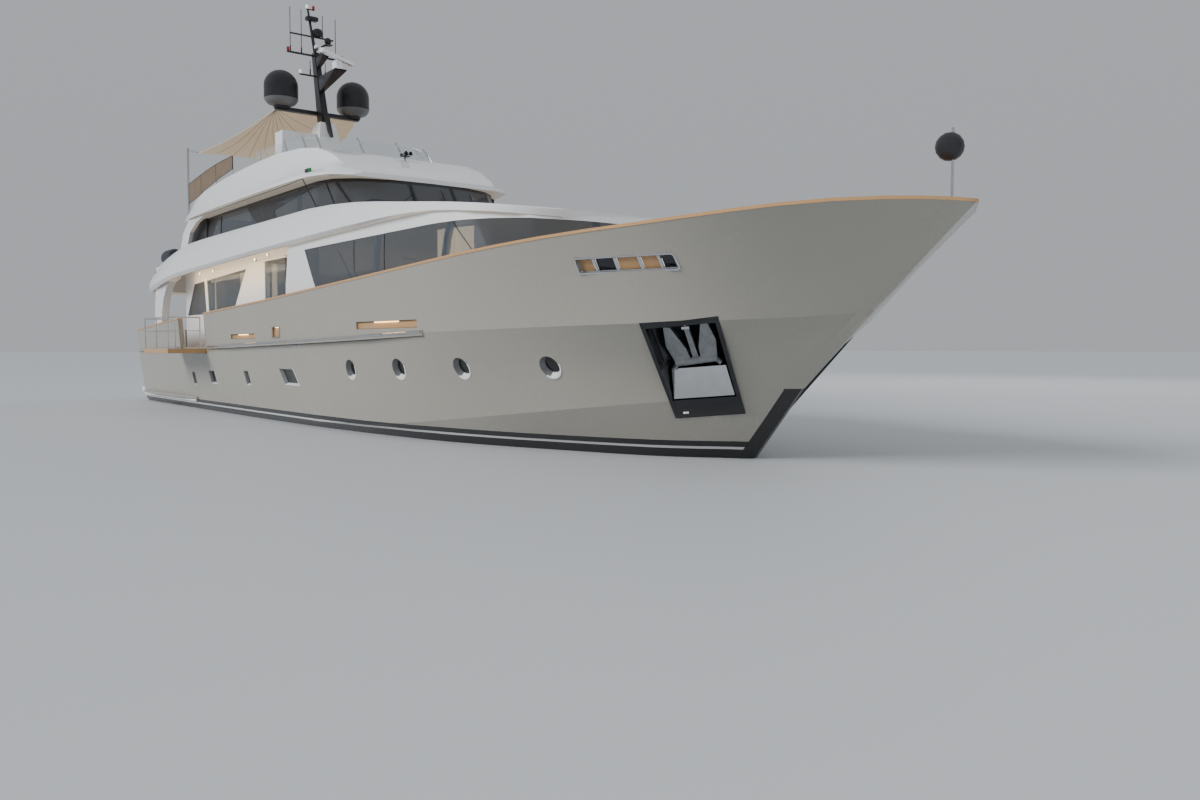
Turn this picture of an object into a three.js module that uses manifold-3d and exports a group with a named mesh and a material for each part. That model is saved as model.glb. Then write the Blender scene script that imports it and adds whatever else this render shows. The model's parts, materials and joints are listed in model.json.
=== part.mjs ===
// A semi-displacement motor yacht, afloat. X runs to the bow, Y to port, Z up, and the origin lies on the
// centreline at the waterline, half way along the boat. All sizes are in metres until the last step.
import * as THREE from "three";
import Module from "manifold-3d";
import { ConvexGeometry } from "three/addons/geometries/ConvexGeometry.js";
import { mergeVertices } from "three/addons/utils/BufferGeometryUtils.js";

const wasm = await Module();
wasm.setup();

const MILLIMETRES = 1000;
const FIT = 0.0005;
const RUNNING = 0.008;
const BORE_GAP = 0.0006;
const BORE_SIDES = 12;
const SIDES = { starboard: -1, port: 1 };

// Driving sizes
const TRANSOM_X = -15.6;
const PLATFORM_END_X = -16.8;
const BOW_X = 16.72;
const DECK_Z = 2.0;
const FOREDECK_Z = 3.0;
const BOW_STEP_Z = 3.72;
const KEEL_Z = -1.95;
const BULWARK = 0.16;
const SOFFIT_Z = 4.76;
const UPPER_DECK_Z = 4.95;
const SUNDECK_Z = 6.78;
const ROOF_Z = 6.38;

// The lines of the hull, from the transom to the stem: place along the boat, half breadth and height.
const HULL_LINES = {
  keel: {
    along: [-15.6, -12, -8, -4, 0, 4, 7, 9, 10.5, 11.5, 12.1],
    half: [0, 0, 0, 0, 0, 0, 0, 0, 0, 0, 0],
    height: [-0.5, -0.85, -1.18, -1.4, -1.5, -1.5, -1.42, -1.28, -1.05, -0.75, -0.35],
  },
  water: {
    along: [-15.6, -9.8, -4.3, -0.4, 2.8, 5.7, 7.7, 9.1, 11, 12.07, 12.45],
    half: [3.3, 3.36, 3.38, 3.34, 3.15, 2.83, 2.35, 1.86, 1.14, 0.36, 0],
    height: [0, 0, 0, 0, 0, 0, 0, 0, 0, 0, 0],
  },
  chine: {
    along: [-15.6, -10, -5, 1, 4.3, 6.1, 9.85, 11.9, 12.8, 13.3, 13.54],
    half: [3.4, 3.45, 3.48, 3.45, 3.3, 3.05, 2.4, 1.55, 0.8, 0.25, 0],
    height: [0.12, 0.12, 0.12, 0.16, 0.28, 0.44, 0.83, 1.05, 1.15, 1.22, 1.28],
  },
  knuckle: {
    along: [-15.6, -12, -7, 0, 4, 7, 9, 10.7, 12.3, 13.5, 14.3, 14.8, 14.98],
    half: [3.64, 3.7, 3.74, 3.75, 3.72, 3.62, 3.42, 3.08, 2.56, 1.78, 0.87, 0.22, 0],
    height: [1.9, 1.95, 2.0, 2.12, 2.2, 2.28, 2.31, 2.34, 2.37, 2.41, 2.46, 2.52, 2.56],
  },
  sheer: {
    along: [-15.6, -12.3, -9.5, -3, 3.9, 8.4, 9.95, 11.16, 13.1, 14.6, 15.3, 15.9, 16.35, 16.65, 16.72],
    half: [3.66, 3.78, 3.8, 3.8, 3.8, 3.8, 3.72, 3.53, 3.0, 2.32, 1.86, 1.26, 0.62, 0.16, 0],
    height: [2.62, 2.77, 2.91, 3.14, 3.46, 3.66, 3.73, 3.79, 3.88, 3.99, 4.04, 4.07, 4.08, 4.06, 4.05],
  },
};
const STEM_BEGINS_X = 5;
const STATIONS = [-15.6, -13.5, -11, -8, -5, -2, 1, 3.5, 5.5, 7.2, 8.6, 9.8, 10.9, 11.9, 12.8, 13.6, 14.3,
  14.9, 15.5, 16, 16.3, 16.52, 16.66, 16.72];
const BOTTOM_STEPS = [0.22, 0.48, 0.74];

// Curve through a table by monotone cubics, held at its ends
function curve(places, values, x) {
  const last = places.length - 1;
  if (x <= places[0]) return values[0];
  if (x >= places[last]) return values[last];
  let i = 0;
  while (x > places[i + 1]) i += 1;
  const slope = (k) => (values[k + 1] - values[k]) / (places[k + 1] - places[k]);
  const tangent = (k) => {
    if (k === 0) return slope(0);
    if (k === last) return slope(last - 1);
    const before = slope(k - 1);
    const after = slope(k);
    return before * after <= 0 ? 0 : (2 * before * after) / (before + after);
  };
  const width = places[i + 1] - places[i];
  const t = (x - places[i]) / width;
  const start = values[i] * (1 + 2 * t) * (1 - t) ** 2 + tangent(i) * width * t * (1 - t) ** 2;
  const end = values[i + 1] * t * t * (3 - 2 * t) + tangent(i + 1) * width * t * t * (t - 1);
  return start + end;
}

function heightOf(line, x) {
  return curve(line.along, line.height, x);
}

// Half breadths are blended as squares, which rounds the line off at the stem
function halfOf(line, x) {
  return Math.sqrt(Math.max(0, curve(line.along, line.half.map((half) => half * half), x)));
}

function alongOf(line, station) {
  const stem = line.along[line.along.length - 1];
  if (station <= STEM_BEGINS_X) return station;
  return STEM_BEGINS_X + ((station - STEM_BEGINS_X) * (stem - STEM_BEGINS_X)) / (BOW_X - STEM_BEGINS_X);
}

function pointOn(name, station) {
  const line = HULL_LINES[name];
  const x = alongOf(line, station);
  return [x, halfOf(line, x), heightOf(line, x)];
}

function between(a, b, t) {
  return a.map((value, i) => value + (b[i] - value) * t);
}

// Half breadth of the topsides at a place and height, between the chine, the knuckle and the sheer
function topsideHalf(x, z) {
  const levels = ["water", "chine", "knuckle", "sheer"].map((name) => {
    const line = HULL_LINES[name];
    return { half: halfOf(line, x), height: heightOf(line, x), ended: x > line.along[line.along.length - 1] };
  });
  const stem = ["water", "chine", "knuckle", "sheer"].map((name) => {
    const line = HULL_LINES[name];
    return { x: line.along[line.along.length - 1], z: line.height[line.height.length - 1] };
  });
  for (let i = 0; i < levels.length - 1; i += 1) {
    let low = levels[i];
    const high = levels[i + 1];
    if (high.ended) continue;
    if (low.ended) {
      const t = (x - stem[i].x) / (stem[i + 1].x - stem[i].x);
      low = { half: 0, height: stem[i].z + (stem[i + 1].z - stem[i].z) * t };
    }
    if (z <= high.height || i === levels.length - 2) {
      const t = (z - low.height) / (high.height - low.height);
      return low.half + (high.half - low.half) * Math.max(0, t);
    }
  }
  return 0;
}

// One half section of the hull from the keel up to the sheer; grow moves the skin outward
function halfSection(station, grow) {
  const keel = pointOn("keel", station);
  const water = pointOn("water", station);
  const chine = pointOn("chine", station);
  const knuckle = pointOn("knuckle", station);
  const sheer = pointOn("sheer", station);
  const fullness = station < 2 ? 2.3 : 2.3 - 1.2 * Math.min(1, (station - 2) / 9);
  const hollow = station < 4 ? 0 : Math.min(0.12, (station - 4) * 0.014);
  const section = [keel];
  for (const step of BOTTOM_STEPS) {
    const angle = (step * Math.PI) / 2;
    const out = Math.sin(angle) ** (2 / fullness);
    const down = Math.cos(angle) ** (2 / fullness);
    section.push([keel[0] + (water[0] - keel[0]) * (1 - down), water[1] * out, keel[2] * down]);
  }
  section.push(water, chine);
  for (const t of [0.34, 0.67]) {
    const point = between(chine, knuckle, t);
    const inward = hollow * Math.sin(Math.PI * t) * Math.min(1, point[1]);
    section.push([point[0], point[1] - inward, point[2]]);
  }
  section.push(knuckle);
  const upper = between(knuckle, sheer, 0.5);
  section.push([upper[0], upper[1] - hollow * 0.4 * Math.min(1, upper[1]), upper[2]]);
  section.push(sheer);
  return section.map(([x, y, z], i) => {
    const out = i === 0 ? 0 : grow;
    const down = z < 0 ? grow : 0;
    return [x, y < 1e-6 && i > 0 ? 0 : y + out * (y > 1e-6 ? 1 : 0), z - down];
  });
}

// Solids
function solidOf(geometry) {
  const bare = geometry.clone();
  for (const name of Object.keys(bare.attributes)) {
    if (name !== "position") bare.deleteAttribute(name);
  }
  const merged = mergeVertices(bare, 1e-5);
  const corners = merged.index.array;
  const kept = [];
  for (let i = 0; i < corners.length; i += 3) {
    const [a, b, c] = [corners[i], corners[i + 1], corners[i + 2]];
    if (a !== b && b !== c && c !== a) kept.push(a, b, c);
  }
  const places = merged.attributes.position;
  let volume = 0;
  const corner = (index) => new THREE.Vector3().fromBufferAttribute(places, index);
  for (let i = 0; i < kept.length; i += 3) {
    volume += corner(kept[i]).dot(corner(kept[i + 1]).cross(corner(kept[i + 2])));
  }
  if (volume < 0) kept.reverse();
  const mesh = new wasm.Mesh({
    numProp: 3,
    vertProperties: new Float32Array(places.array),
    triVerts: new Uint32Array(kept),
  });
  return new wasm.Manifold(mesh);
}

function join(...solids) {
  return solids.reduce((whole, next) => whole.add(next));
}

// The largest body of a solid, without the crumbs that a cut leaves
function mainBody(solid) {
  return solid.decompose().sort((a, b) => b.volume() - a.volume())[0];
}

function box([x0, x1], [y0, y1], [z0, z1]) {
  const geometry = new THREE.BoxGeometry(x1 - x0, y1 - y0, z1 - z0);
  geometry.translate((x0 + x1) / 2, (y0 + y1) / 2, (z0 + z1) / 2);
  return solidOf(geometry);
}

const AXES = {
  x: [new THREE.Vector3(0, 1, 0), new THREE.Vector3(0, 0, 1), new THREE.Vector3(1, 0, 0)],
  y: [new THREE.Vector3(1, 0, 0), new THREE.Vector3(0, 0, 1), new THREE.Vector3(0, -1, 0)],
  z: [new THREE.Vector3(1, 0, 0), new THREE.Vector3(0, 1, 0), new THREE.Vector3(0, 0, 1)],
};

// An outline in the plane across one axis, extruded between two places on that axis
function prism(axis, outline, [low, high]) {
  const shape = new THREE.Shape(outline.map(([u, v]) => new THREE.Vector2(u, v)));
  const geometry = new THREE.ExtrudeGeometry(shape, { depth: high - low, bevelEnabled: false });
  geometry.applyMatrix4(new THREE.Matrix4().makeBasis(...AXES[axis]));
  const start = axis === "y" ? [0, high, 0] : [axis === "x" ? low : 0, 0, axis === "z" ? low : 0];
  geometry.translate(...start);
  return solidOf(geometry);
}

function hullOf(points) {
  return solidOf(new ConvexGeometry(points.map((point) => new THREE.Vector3(...point))));
}

function rod(a, b, radius, segments = 10, endRadius = radius) {
  const start = new THREE.Vector3(...a);
  const end = new THREE.Vector3(...b);
  const along = end.clone().sub(start);
  const geometry = new THREE.CylinderGeometry(endRadius, radius, along.length(), segments);
  const turn = new THREE.Quaternion().setFromUnitVectors(new THREE.Vector3(0, 1, 0), along.normalize());
  geometry.applyQuaternion(turn);
  const middle = start.add(end).multiplyScalar(0.5);
  geometry.translate(middle.x, middle.y, middle.z);
  return solidOf(geometry);
}

// A round hole for a pin, wide enough that its flats clear the pin by the bore gap
function bore(a, b, pinRadius) {
  return rod(a, b, (pinRadius + BORE_GAP) / Math.cos(Math.PI / BORE_SIDES), BORE_SIDES);
}

function turned(profile, [x, y, z], segments = 20) {
  const geometry = new THREE.LatheGeometry(profile.map(([r, h]) => new THREE.Vector2(r, h)), segments);
  geometry.applyMatrix4(new THREE.Matrix4().makeBasis(
    new THREE.Vector3(1, 0, 0), new THREE.Vector3(0, 0, 1), new THREE.Vector3(0, -1, 0)));
  geometry.translate(x, y, z);
  return solidOf(geometry);
}

// Closed rings of equal length joined along the boat, with the two ends filled
function loft(rings, flat = ["y", "z"]) {
  const size = rings[0].length;
  const index = { x: 0, y: 1, z: 2 };
  const positions = rings.flat(2);
  const faces = [];
  for (let r = 0; r < rings.length - 1; r += 1) {
    for (let i = 0; i < size; i += 1) {
      const next = (i + 1) % size;
      const [a, b, c, d] = [r * size + i, r * size + next, (r + 1) * size + next, (r + 1) * size + i];
      faces.push(a, b, c, a, c, d);
    }
  }
  const first = rings[0].map((point) => new THREE.Vector2(point[index[flat[0]]], point[index[flat[1]]]));
  const last = rings.at(-1).map((point) => new THREE.Vector2(point[index[flat[0]]], point[index[flat[1]]]));
  const start = (rings.length - 1) * size;
  const firstFaces = THREE.ShapeUtils.triangulateShape(first, []);
  const turns = THREE.ShapeUtils.isClockWise(first);
  for (const [a, b, c] of firstFaces) faces.push(...(turns ? [a, b, c] : [a, c, b]));
  const flatEnd = Math.abs(THREE.ShapeUtils.area(last)) > 1e-9;
  if (flatEnd) {
    for (const [a, b, c] of THREE.ShapeUtils.triangulateShape(last, [])) {
      faces.push(...(turns ? [start + a, start + c, start + b] : [start + a, start + b, start + c]));
    }
  }
  const geometry = new THREE.BufferGeometry();
  geometry.setAttribute("position", new THREE.Float32BufferAttribute(positions, 3));
  geometry.setIndex(faces);
  return solidOf(geometry.toNonIndexed());
}

// A ring that is the same on both sides, from a list of [half breadth, height] going up from the centreline
function mirrored(x, levels) {
  const starboard = levels.map(([half, z]) => [x, -half, z]);
  const port = levels.filter(([half]) => half > 0).reverse().map(([half, z]) => [x, half, z]);
  return [...starboard, ...port];
}

function hullShape(grow = 0) {
  const rings = STATIONS.map((station) => {
    const half = halfSection(station, grow);
    const starboard = half.map(([x, y, z]) => [x, -y, z]);
    const port = half.slice(1).reverse();
    return [...starboard, ...port];
  });
  return loft(rings);
}

// Looks
const LOOKS = {
  hullPaint: { color: 0xb9b6ab, roughness: 0.3 },
  white: { color: 0xf2f2ef, roughness: 0.25 },
  teak: { color: 0xb98a55, roughness: 0.6 },
  glass: { color: 0x1d252c, roughness: 0.08 },
  steel: { color: 0xc9ccd0, roughness: 0.2, metalness: 1 },
  bronze: { color: 0xb08d4a, roughness: 0.35, metalness: 1 },
  black: { color: 0x101113, roughness: 0.4 },
  canvas: { color: 0xb9a58c, roughness: 0.9 },
  mesh: { color: 0x5a4636, roughness: 0.9 },
  cushion: { color: 0xd8d3c8, roughness: 0.85 },
  cover: { color: 0x3c4046, roughness: 0.8 },
};

const yacht = new THREE.Group();
yacht.name = "motor_yacht";

function addPiece(name, solid, look) {
  const data = solid.getMesh();
  const positions = Float32Array.from(data.vertProperties, (value) => value * MILLIMETRES);
  const geometry = new THREE.BufferGeometry();
  geometry.setAttribute("position", new THREE.BufferAttribute(positions, 3));
  geometry.setIndex(new THREE.BufferAttribute(Uint32Array.from(data.triVerts), 1));
  const mesh = new THREE.Mesh(geometry, new THREE.MeshStandardMaterial(LOOKS[look]));
  mesh.name = name;
  yacht.add(mesh);
}

// Wide part of the deckhouse: plan corners on one side at the main deck, above the bulwark and at its top
const HOUSE_BACK_X = -0.5;
const HOUSE_BASE = [[9.6, 0], [9.5, 1.4], [9.2, 2.1], [8.6, 2.65], [7.7, 2.95], [6.4, 3.2]];
const HOUSE_FOOT = [[9.85, 0], [9.78, 1.5], [9.5, 2.6], [8.9, 3.25], [8.1, 3.56], [7.2, 3.62]];
const HOUSE_TOP = [[9.0, 0], [8.96, 1.4], [8.75, 2.4], [8.3, 2.95], [7.7, 3.3], [6.9, 3.45]];
const HOUSE_SIDE = { base: 3.45, foot: 3.62, top: 3.52 };
const HOUSE_FOOT_Z = 3.1;
const HOUSE_SHOULDER_Z = 3.6;
const HOUSE_TOP_Z = 4.9;
const HOUSE_WALL = 0.1;

function housePlan(z, inset) {
  const above = z >= HOUSE_FOOT_Z;
  const [low, high, sideLow, sideHigh] = above ? [HOUSE_FOOT, HOUSE_TOP, HOUSE_SIDE.foot, HOUSE_SIDE.top]
    : [HOUSE_BASE, HOUSE_FOOT, HOUSE_SIDE.base, HOUSE_SIDE.foot];
  const rise = above ? Math.max(0, (z - HOUSE_SHOULDER_Z) / (HOUSE_TOP_Z - HOUSE_SHOULDER_Z))
    : Math.max(0, (z - DECK_Z) / (HOUSE_FOOT_Z - DECK_Z));
  const side = sideLow + (sideHigh - sideLow) * rise;
  const front = low.map((corner, i) => between(corner, high[i], rise))
    .map(([x, half]) => [x - inset, half - (half > 0 ? inset : 0)]);
  return [[HOUSE_BACK_X + inset, side - inset], ...front];
}

function houseShape(inset, low = DECK_Z + FIT, high = HOUSE_TOP_Z) {
  const corners = [];
  for (const z of [low, HOUSE_FOOT_Z, HOUSE_SHOULDER_Z, high]) {
    for (const [x, half] of housePlan(z, inset)) corners.push([x, half, z], [x, -half, z]);
  }
  return hullOf(corners);
}

// Wells cut into the top of the hull: main deck, foredeck and the step in the bow
function wellShape(from, to, floor, count = 14) {
  const rings = [];
  for (let i = 0; i <= count; i += 1) {
    const x = from + ((to - from) * i) / count;
    const sheer = heightOf(HULL_LINES.sheer, x);
    const low = Math.max(0.25, Math.min(topsideHalf(x, floor), halfOf(HULL_LINES.sheer, x)) - BULWARK);
    const high = Math.max(0.3, halfOf(HULL_LINES.sheer, x) - BULWARK);
    rings.push([[x, -low, floor], [x, low, floor], [x, high, sheer], [x, high, sheer + 1.5],
      [x, -high, sheer + 1.5], [x, -high, sheer]]);
  }
  return loft(rings);
}

const MAIN_WELL = { from: -15.42, to: 8.0 };
const mainWell = wellShape(MAIN_WELL.from, MAIN_WELL.to, DECK_Z, 9);
const houseWell = houseShape(-0.001, DECK_Z, 7);
const foreWell = wellShape(7.0, 15.0, FOREDECK_Z, 8);
const bowWell = wellShape(14.9, 15.9, BOW_STEP_Z, 5);
const sideWell = mainWell.subtract(box([HOUSE_BACK_X, 12], [-5, 5], [0, 9]));
const wells = join(sideWell, houseWell, foreWell, bowWell);

// Fold-down balcony in each bulwark: it turns on a pin along the deck edge
const BALCONY = {
  back: -9.75, front: -6.95, out: 4.85, pin: [3.73, 1.88], thickness: 0.14, rail: 0.97, pinRadius: 0.025,
  sill: 3.5,
};

function balconyNotch(side) {
  const inner = BALCONY.pin[0] - BALCONY.thickness / 2 - RUNNING;
  const floor = BALCONY.pin[1] - BALCONY.thickness / 2 - RUNNING;
  const along = [BALCONY.back - RUNNING, BALCONY.front + RUNNING];
  const across = (from) => (side < 0 ? [-6, -from] : [from, 6]);
  return join(box(along, across(inner), [floor, 6]), box(along, across(BALCONY.sill), [DECK_Z, 6]));
}

// Anchor pocket: four corners on the starboard topside, in order round the opening
const POCKET = [[12.3, 2.56, 2.38], [13.43, 1.88, 2.48], [12.75, 0.53, 0.85], [11.82, 1.31, 0.75]];
const POCKET_OUT = new THREE.Vector3(0.483, 0.592, -0.645).normalize();
const POCKET_DEPTH = 0.38;

function pocketRing(side, scale, out) {
  const middle = [0, 1, 2].map((i) => POCKET.reduce((sum, corner) => sum + corner[i], 0) / POCKET.length);
  return POCKET.map((corner) => {
    const [x, y, z] = corner.map((value, i) => middle[i] + (value - middle[i]) * scale);
    return [x + POCKET_OUT.x * out, side * (y + POCKET_OUT.y * out), z + POCKET_OUT.z * out];
  });
}

// Slots in the topsides: bow fairleads near the rail and freeing slots over the rub rail
const FAIRLEAD = { back: 11.49, front: 13.24, low: 3.19, high: 3.43 };
const SIDE_SLOTS = [
  { back: 4.0, front: 6.7, low: 2.38, high: 2.54 },
  { back: -4.5, front: -2.5, low: 2.22, high: 2.36 },
  { back: -1.12, front: -0.6, low: 2.24, high: 2.52 },
];

function topsideSlot(side, slot, depth, grow = 0) {
  const corners = [];
  for (const x of [slot.back - grow, slot.front + grow]) {
    for (const z of [slot.low - grow, slot.high + grow]) {
      const half = topsideHalf(x, z);
      corners.push([x, side * (half - depth), z], [x, side * (half + 0.3), z]);
    }
  }
  return hullOf(corners);
}

// A moulding that follows the topside between two places
function sideMoulding(side, from, to, lowAt, height, out, count = 12) {
  const rings = [];
  for (let i = 0; i <= count; i += 1) {
    const x = from + ((to - from) * i) / count;
    const low = lowAt(x);
    const reach = out * (i === 0 || i === count ? 0.3 : 1);
    const half = topsideHalf(x, low + height / 2);
    rings.push([[x, side * (half - 0.12), low], [x, side * (half + reach), low + height * 0.25],
      [x, side * (half + reach), low + height], [x, side * (half - 0.12), low + height]]);
  }
  return loft(rings);
}

const RUB_RAIL = { height: 0.15, out: 0.11 };
const railLow = (x) => heightOf(HULL_LINES.knuckle, x) - 0.1;
const LEDGE = { from: -15.58, to: -8.7, low: 0.31, height: 0.09, out: 0.17 };

// Running gear: shafts, brackets, rudders and fins on each side
const GEAR_Y = 1.45;
const PROPELLER = [-12.55, -1.4];
const PROPELLER_RADIUS = 0.5;
const SHAFT_RISE = Math.tan((3.5 * Math.PI) / 180);
const SHAFT_RADIUS = 0.045;
const shaftAt = (side, x) => [x, side * GEAR_Y, PROPELLER[1] + (x - PROPELLER[0]) * SHAFT_RISE];
const SHAFT_END_X = -8.4;
const RUDDER = { x: -13.95, boss: -0.82, low: -1.78, stock: 0.06 };
const FIN = { x: -1.2, stock: 0.06, root: [2.92, -0.93], out: new THREE.Vector3(0, 0.77, -0.64).normalize() };
const THRUSTER = { x: 9.4, z: -0.68, radius: 0.24 };

function sternTube(side) {
  return rod(shaftAt(side, -9.1), shaftAt(side, -7.2), 0.085, 14);
}

function finPoint(side, along, out) {
  return [FIN.x + along, side * (FIN.root[0] + FIN.out.y * out), FIN.root[1] + FIN.out.z * out];
}

// Stern: stairs up from the platform on each side of a boat locker
const STAIRS = { inner: 2.0, outer: 3.05, front: -13.9, steps: 6 };
const PLATFORM = { top: 0.5, low: 0.32, half: 3.35 };
const LOCKER = { half: 1.55, low: 0.66, high: 1.8, front: -12.9 };

function stairWell(side) {
  const across = side < 0 ? [-STAIRS.outer, -STAIRS.inner] : [STAIRS.inner, STAIRS.outer];
  const rise = (DECK_Z - PLATFORM.top) / STAIRS.steps;
  const going = (STAIRS.front - TRANSOM_X) / STAIRS.steps;
  const profile = [[TRANSOM_X - 0.2, PLATFORM.top]];
  for (let i = 0; i < STAIRS.steps; i += 1) {
    const x = TRANSOM_X + going * i;
    profile.push([x + 0.02, PLATFORM.top + rise * i], [x + 0.02, PLATFORM.top + rise * (i + 1)]);
  }
  profile.push([STAIRS.front, DECK_Z], [STAIRS.front, 4], [TRANSOM_X - 0.2, 4]);
  return prism("y", profile, across);
}

// Hull
const skeg = prism("y", [[-11.3, -0.7], [-10.6, KEEL_Z], [5.2, KEEL_Z], [8.4, -1.1]], [-0.13, 0.13]);
let hull = join(hullShape(), skeg);
for (const side of Object.values(SIDES)) {
  hull = join(hull,
    sideMoulding(side, -15.5, -9.95, railLow, RUB_RAIL.height, RUB_RAIL.out, 4),
    sideMoulding(side, -6.75, 6.9, railLow, RUB_RAIL.height, RUB_RAIL.out, 6),
    sideMoulding(side, LEDGE.from, LEDGE.to, () => LEDGE.low, LEDGE.height, LEDGE.out, 4),
    sternTube(side),
    rod([RUDDER.x, side * GEAR_Y, -0.4], [RUDDER.x, side * GEAR_Y, RUDDER.boss], 0.13, 16),
    rod(finPoint(side, 0, -0.5), finPoint(side, 0, 0.0), 0.2, 16));
}
hull = hull.subtract(wells);
hull = join(hull, box([12.1, 13.0], [-0.45, 0.45], [2.9, 3.2]))
  .subtract(box([12.17, 12.93], [-0.38, 0.38], [2.4, 4]));
for (const side of Object.values(SIDES)) {
  hull = hull
    .subtract(balconyNotch(side))
    .subtract(hullOf([...pocketRing(side, 1.0015, 0.6), ...pocketRing(side, 1.0015, 0.02),
      ...pocketRing(side, 0.902, -POCKET_DEPTH - 0.0005)]))
    .subtract(topsideSlot(side, FAIRLEAD, 0.6, 0.004))
    .subtract(bore(shaftAt(side, -9.4), shaftAt(side, SHAFT_END_X + 0.004), SHAFT_RADIUS))
    .subtract(bore([RUDDER.x, side * GEAR_Y, -0.76], [RUDDER.x, side * GEAR_Y, -1], RUDDER.stock))
    .subtract(bore(finPoint(side, 0, -0.2), finPoint(side, 0, 0.2), FIN.stock))
    .subtract(bore([BALCONY.back - 0.06, side * BALCONY.pin[0], BALCONY.pin[1]],
      [BALCONY.front + 0.06, side * BALCONY.pin[0], BALCONY.pin[1]], BALCONY.pinRadius))
    .subtract(stairWell(side));
  for (const slot of SIDE_SLOTS) hull = hull.subtract(topsideSlot(side, slot, 0.1));
}
hull = hull
  .subtract(box([TRANSOM_X - 0.5, TRANSOM_X + 0.095], [-LOCKER.half - 0.07, LOCKER.half + 0.07],
    [LOCKER.low - 0.07, LOCKER.high + 0.07]))
  .subtract(box([TRANSOM_X, LOCKER.front], [-LOCKER.half, LOCKER.half], [LOCKER.low, LOCKER.high]))
  .subtract(rod([THRUSTER.x, -4, THRUSTER.z], [THRUSTER.x, 4, THRUSTER.z], THRUSTER.radius, 20));
addPiece("hull", hull, "hullPaint");

// Transom: swim platform and the lid of the boat locker
const platformPlan = [[TRANSOM_X - FIT, -3.0], [TRANSOM_X - FIT, 3.0], [-15.9, PLATFORM.half],
  [-16.45, PLATFORM.half], [-16.7, 3.1], [PLATFORM_END_X, 2.6], [PLATFORM_END_X, -2.6],
  [-16.7, -3.1], [-16.45, -PLATFORM.half],
  [-15.9, -PLATFORM.half]];
addPiece("swim_platform", prism("z", platformPlan.reverse(), [PLATFORM.low, PLATFORM.top]), "teak");
addPiece("transom_hatch", box([TRANSOM_X + 0.006, TRANSOM_X + 0.0942],
  [-LOCKER.half - 0.06, LOCKER.half + 0.06], [LOCKER.low - 0.06, LOCKER.high + 0.06]), "hullPaint");

// Cap rail of teak along the top of the bulwarks
const capRings = STATIONS.filter((station) => station < BOW_X).map((station) => {
  const [x, half, z] = pointOn("sheer", station);
  return [[x, -half - 0.012, z + FIT], [x, half + 0.012, z + FIT], [x, half + 0.012, z + 0.05],
    [x, -half - 0.012, z + 0.05]];
});
const capTip = pointOn("sheer", BOW_X);
const capNose = 0.05;
capRings.push([[capTip[0] + 0.012, -capNose, capTip[2] + FIT], [capTip[0] + 0.012, capNose, capTip[2] + FIT],
  [capTip[0] + 0.012, capNose, capTip[2] + 0.05], [capTip[0] + 0.012, -capNose, capTip[2] + 0.05]]);
const capHole = join(mainWell, foreWell, bowWell, stairWell(-1), stairWell(1));
const capRail = loft(capRings).subtract(capHole);
const capFront = BALCONY.front + RUNNING;
const capBack = BALCONY.back - RUNNING;
addPiece("cap_rail_forward", capRail.intersect(box([capFront, 18], [-5, 5], [0, 9])), "teak");
const aftCap = capRail.intersect(box([-17, capBack], [-5, 5], [0, 9]));
const sternCut = STAIRS.outer - 0.02;
addPiece("cap_rail_aft_starboard", aftCap.intersect(box([-17, 0], [-5, -sternCut], [0, 9])), "teak");
addPiece("cap_rail_aft_port", aftCap.intersect(box([-17, 0], [sternCut, 5], [0, 9])), "teak");
const sternCap = aftCap.intersect(box([-17, -15.3], [-STAIRS.inner, STAIRS.inner], [0, 9]));
addPiece("cap_rail_stern", sternCap, "teak");

// Upper deck moulding: one shell with the side bands, the roof over the wide cabin and two aft pillars
const BAND = {
  along: [-15.5, -15.2, -14.7, -13.8, -12.6, -11.2, -10, -7.6, -3.2, 0.5, 3.4, 5.9, 7.2, 8.2, 8.8, 9.2],
  low: [4.0, 4.0, 4.01, 4.06, 4.18, 4.29, 4.36, 4.42, 4.53, 4.59, 4.65, 4.68, 4.65, 4.56, 4.5, 4.45],
  ridge: [4.64, 4.74, 4.84, 4.97, 5.14, 5.32, 5.42, 5.45, 5.45, 5.43, 5.26, 4.98, 4.84, 4.73, 4.66, 4.62],
  half: [2.6, 3.15, 3.45, 3.62, 3.7, 3.72, 3.72, 3.72, 3.72, 3.72, 3.7, 3.66, 3.55, 3.3, 2.85, 1.9],
};
const bandStations = [-15.5, -15.35, -15.2, -14.95, -14.7, -14.25, -13.8, -13.2, -12.6, -11.9, -11.2, -10,
  -8.8, -7.6, -5.4, -3.2, -1.4, 0.5, 2, 3.4, 4.7, 5.9, 6.6, 7.2, 7.7, 8.2, 8.5, 8.8, 9.0, 9.2];

function bandRing(x, inset = 0) {
  const low = curve(BAND.along, BAND.low, x);
  const ridge = curve(BAND.along, BAND.ridge, x);
  const half = Math.sqrt(curve(BAND.along, BAND.half.map((value) => value * value), x));
  const lean = 0.4 * Math.min(1, (ridge - low) / 1.0);
  const tall = ridge - low;
  return mirrored(x, [[half - 0.07 + inset, low - inset], [half + inset, low + 0.09 * tall],
    [half - 0.02 + inset, low + 0.34 * tall], [half - lean * 0.7 + inset, low + 0.86 * tall],
    [half - lean + inset, ridge + inset]]);
}

function bandShape(inset = 0) {
  return loft(bandStations.map((x) => bandRing(x, inset)));
}

function upperPlan(from, to, inset, low, high) {
  const places = bandStations.filter((x) => x > from && x < to);
  const edge = [from, ...places, to].map((x) => [x, curve(BAND.along, BAND.half, x) - inset]);
  const outline = [...edge.map(([x, half]) => [x, -half]), ...edge.reverse()];
  return prism("z", outline, [low, high]);
}

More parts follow.
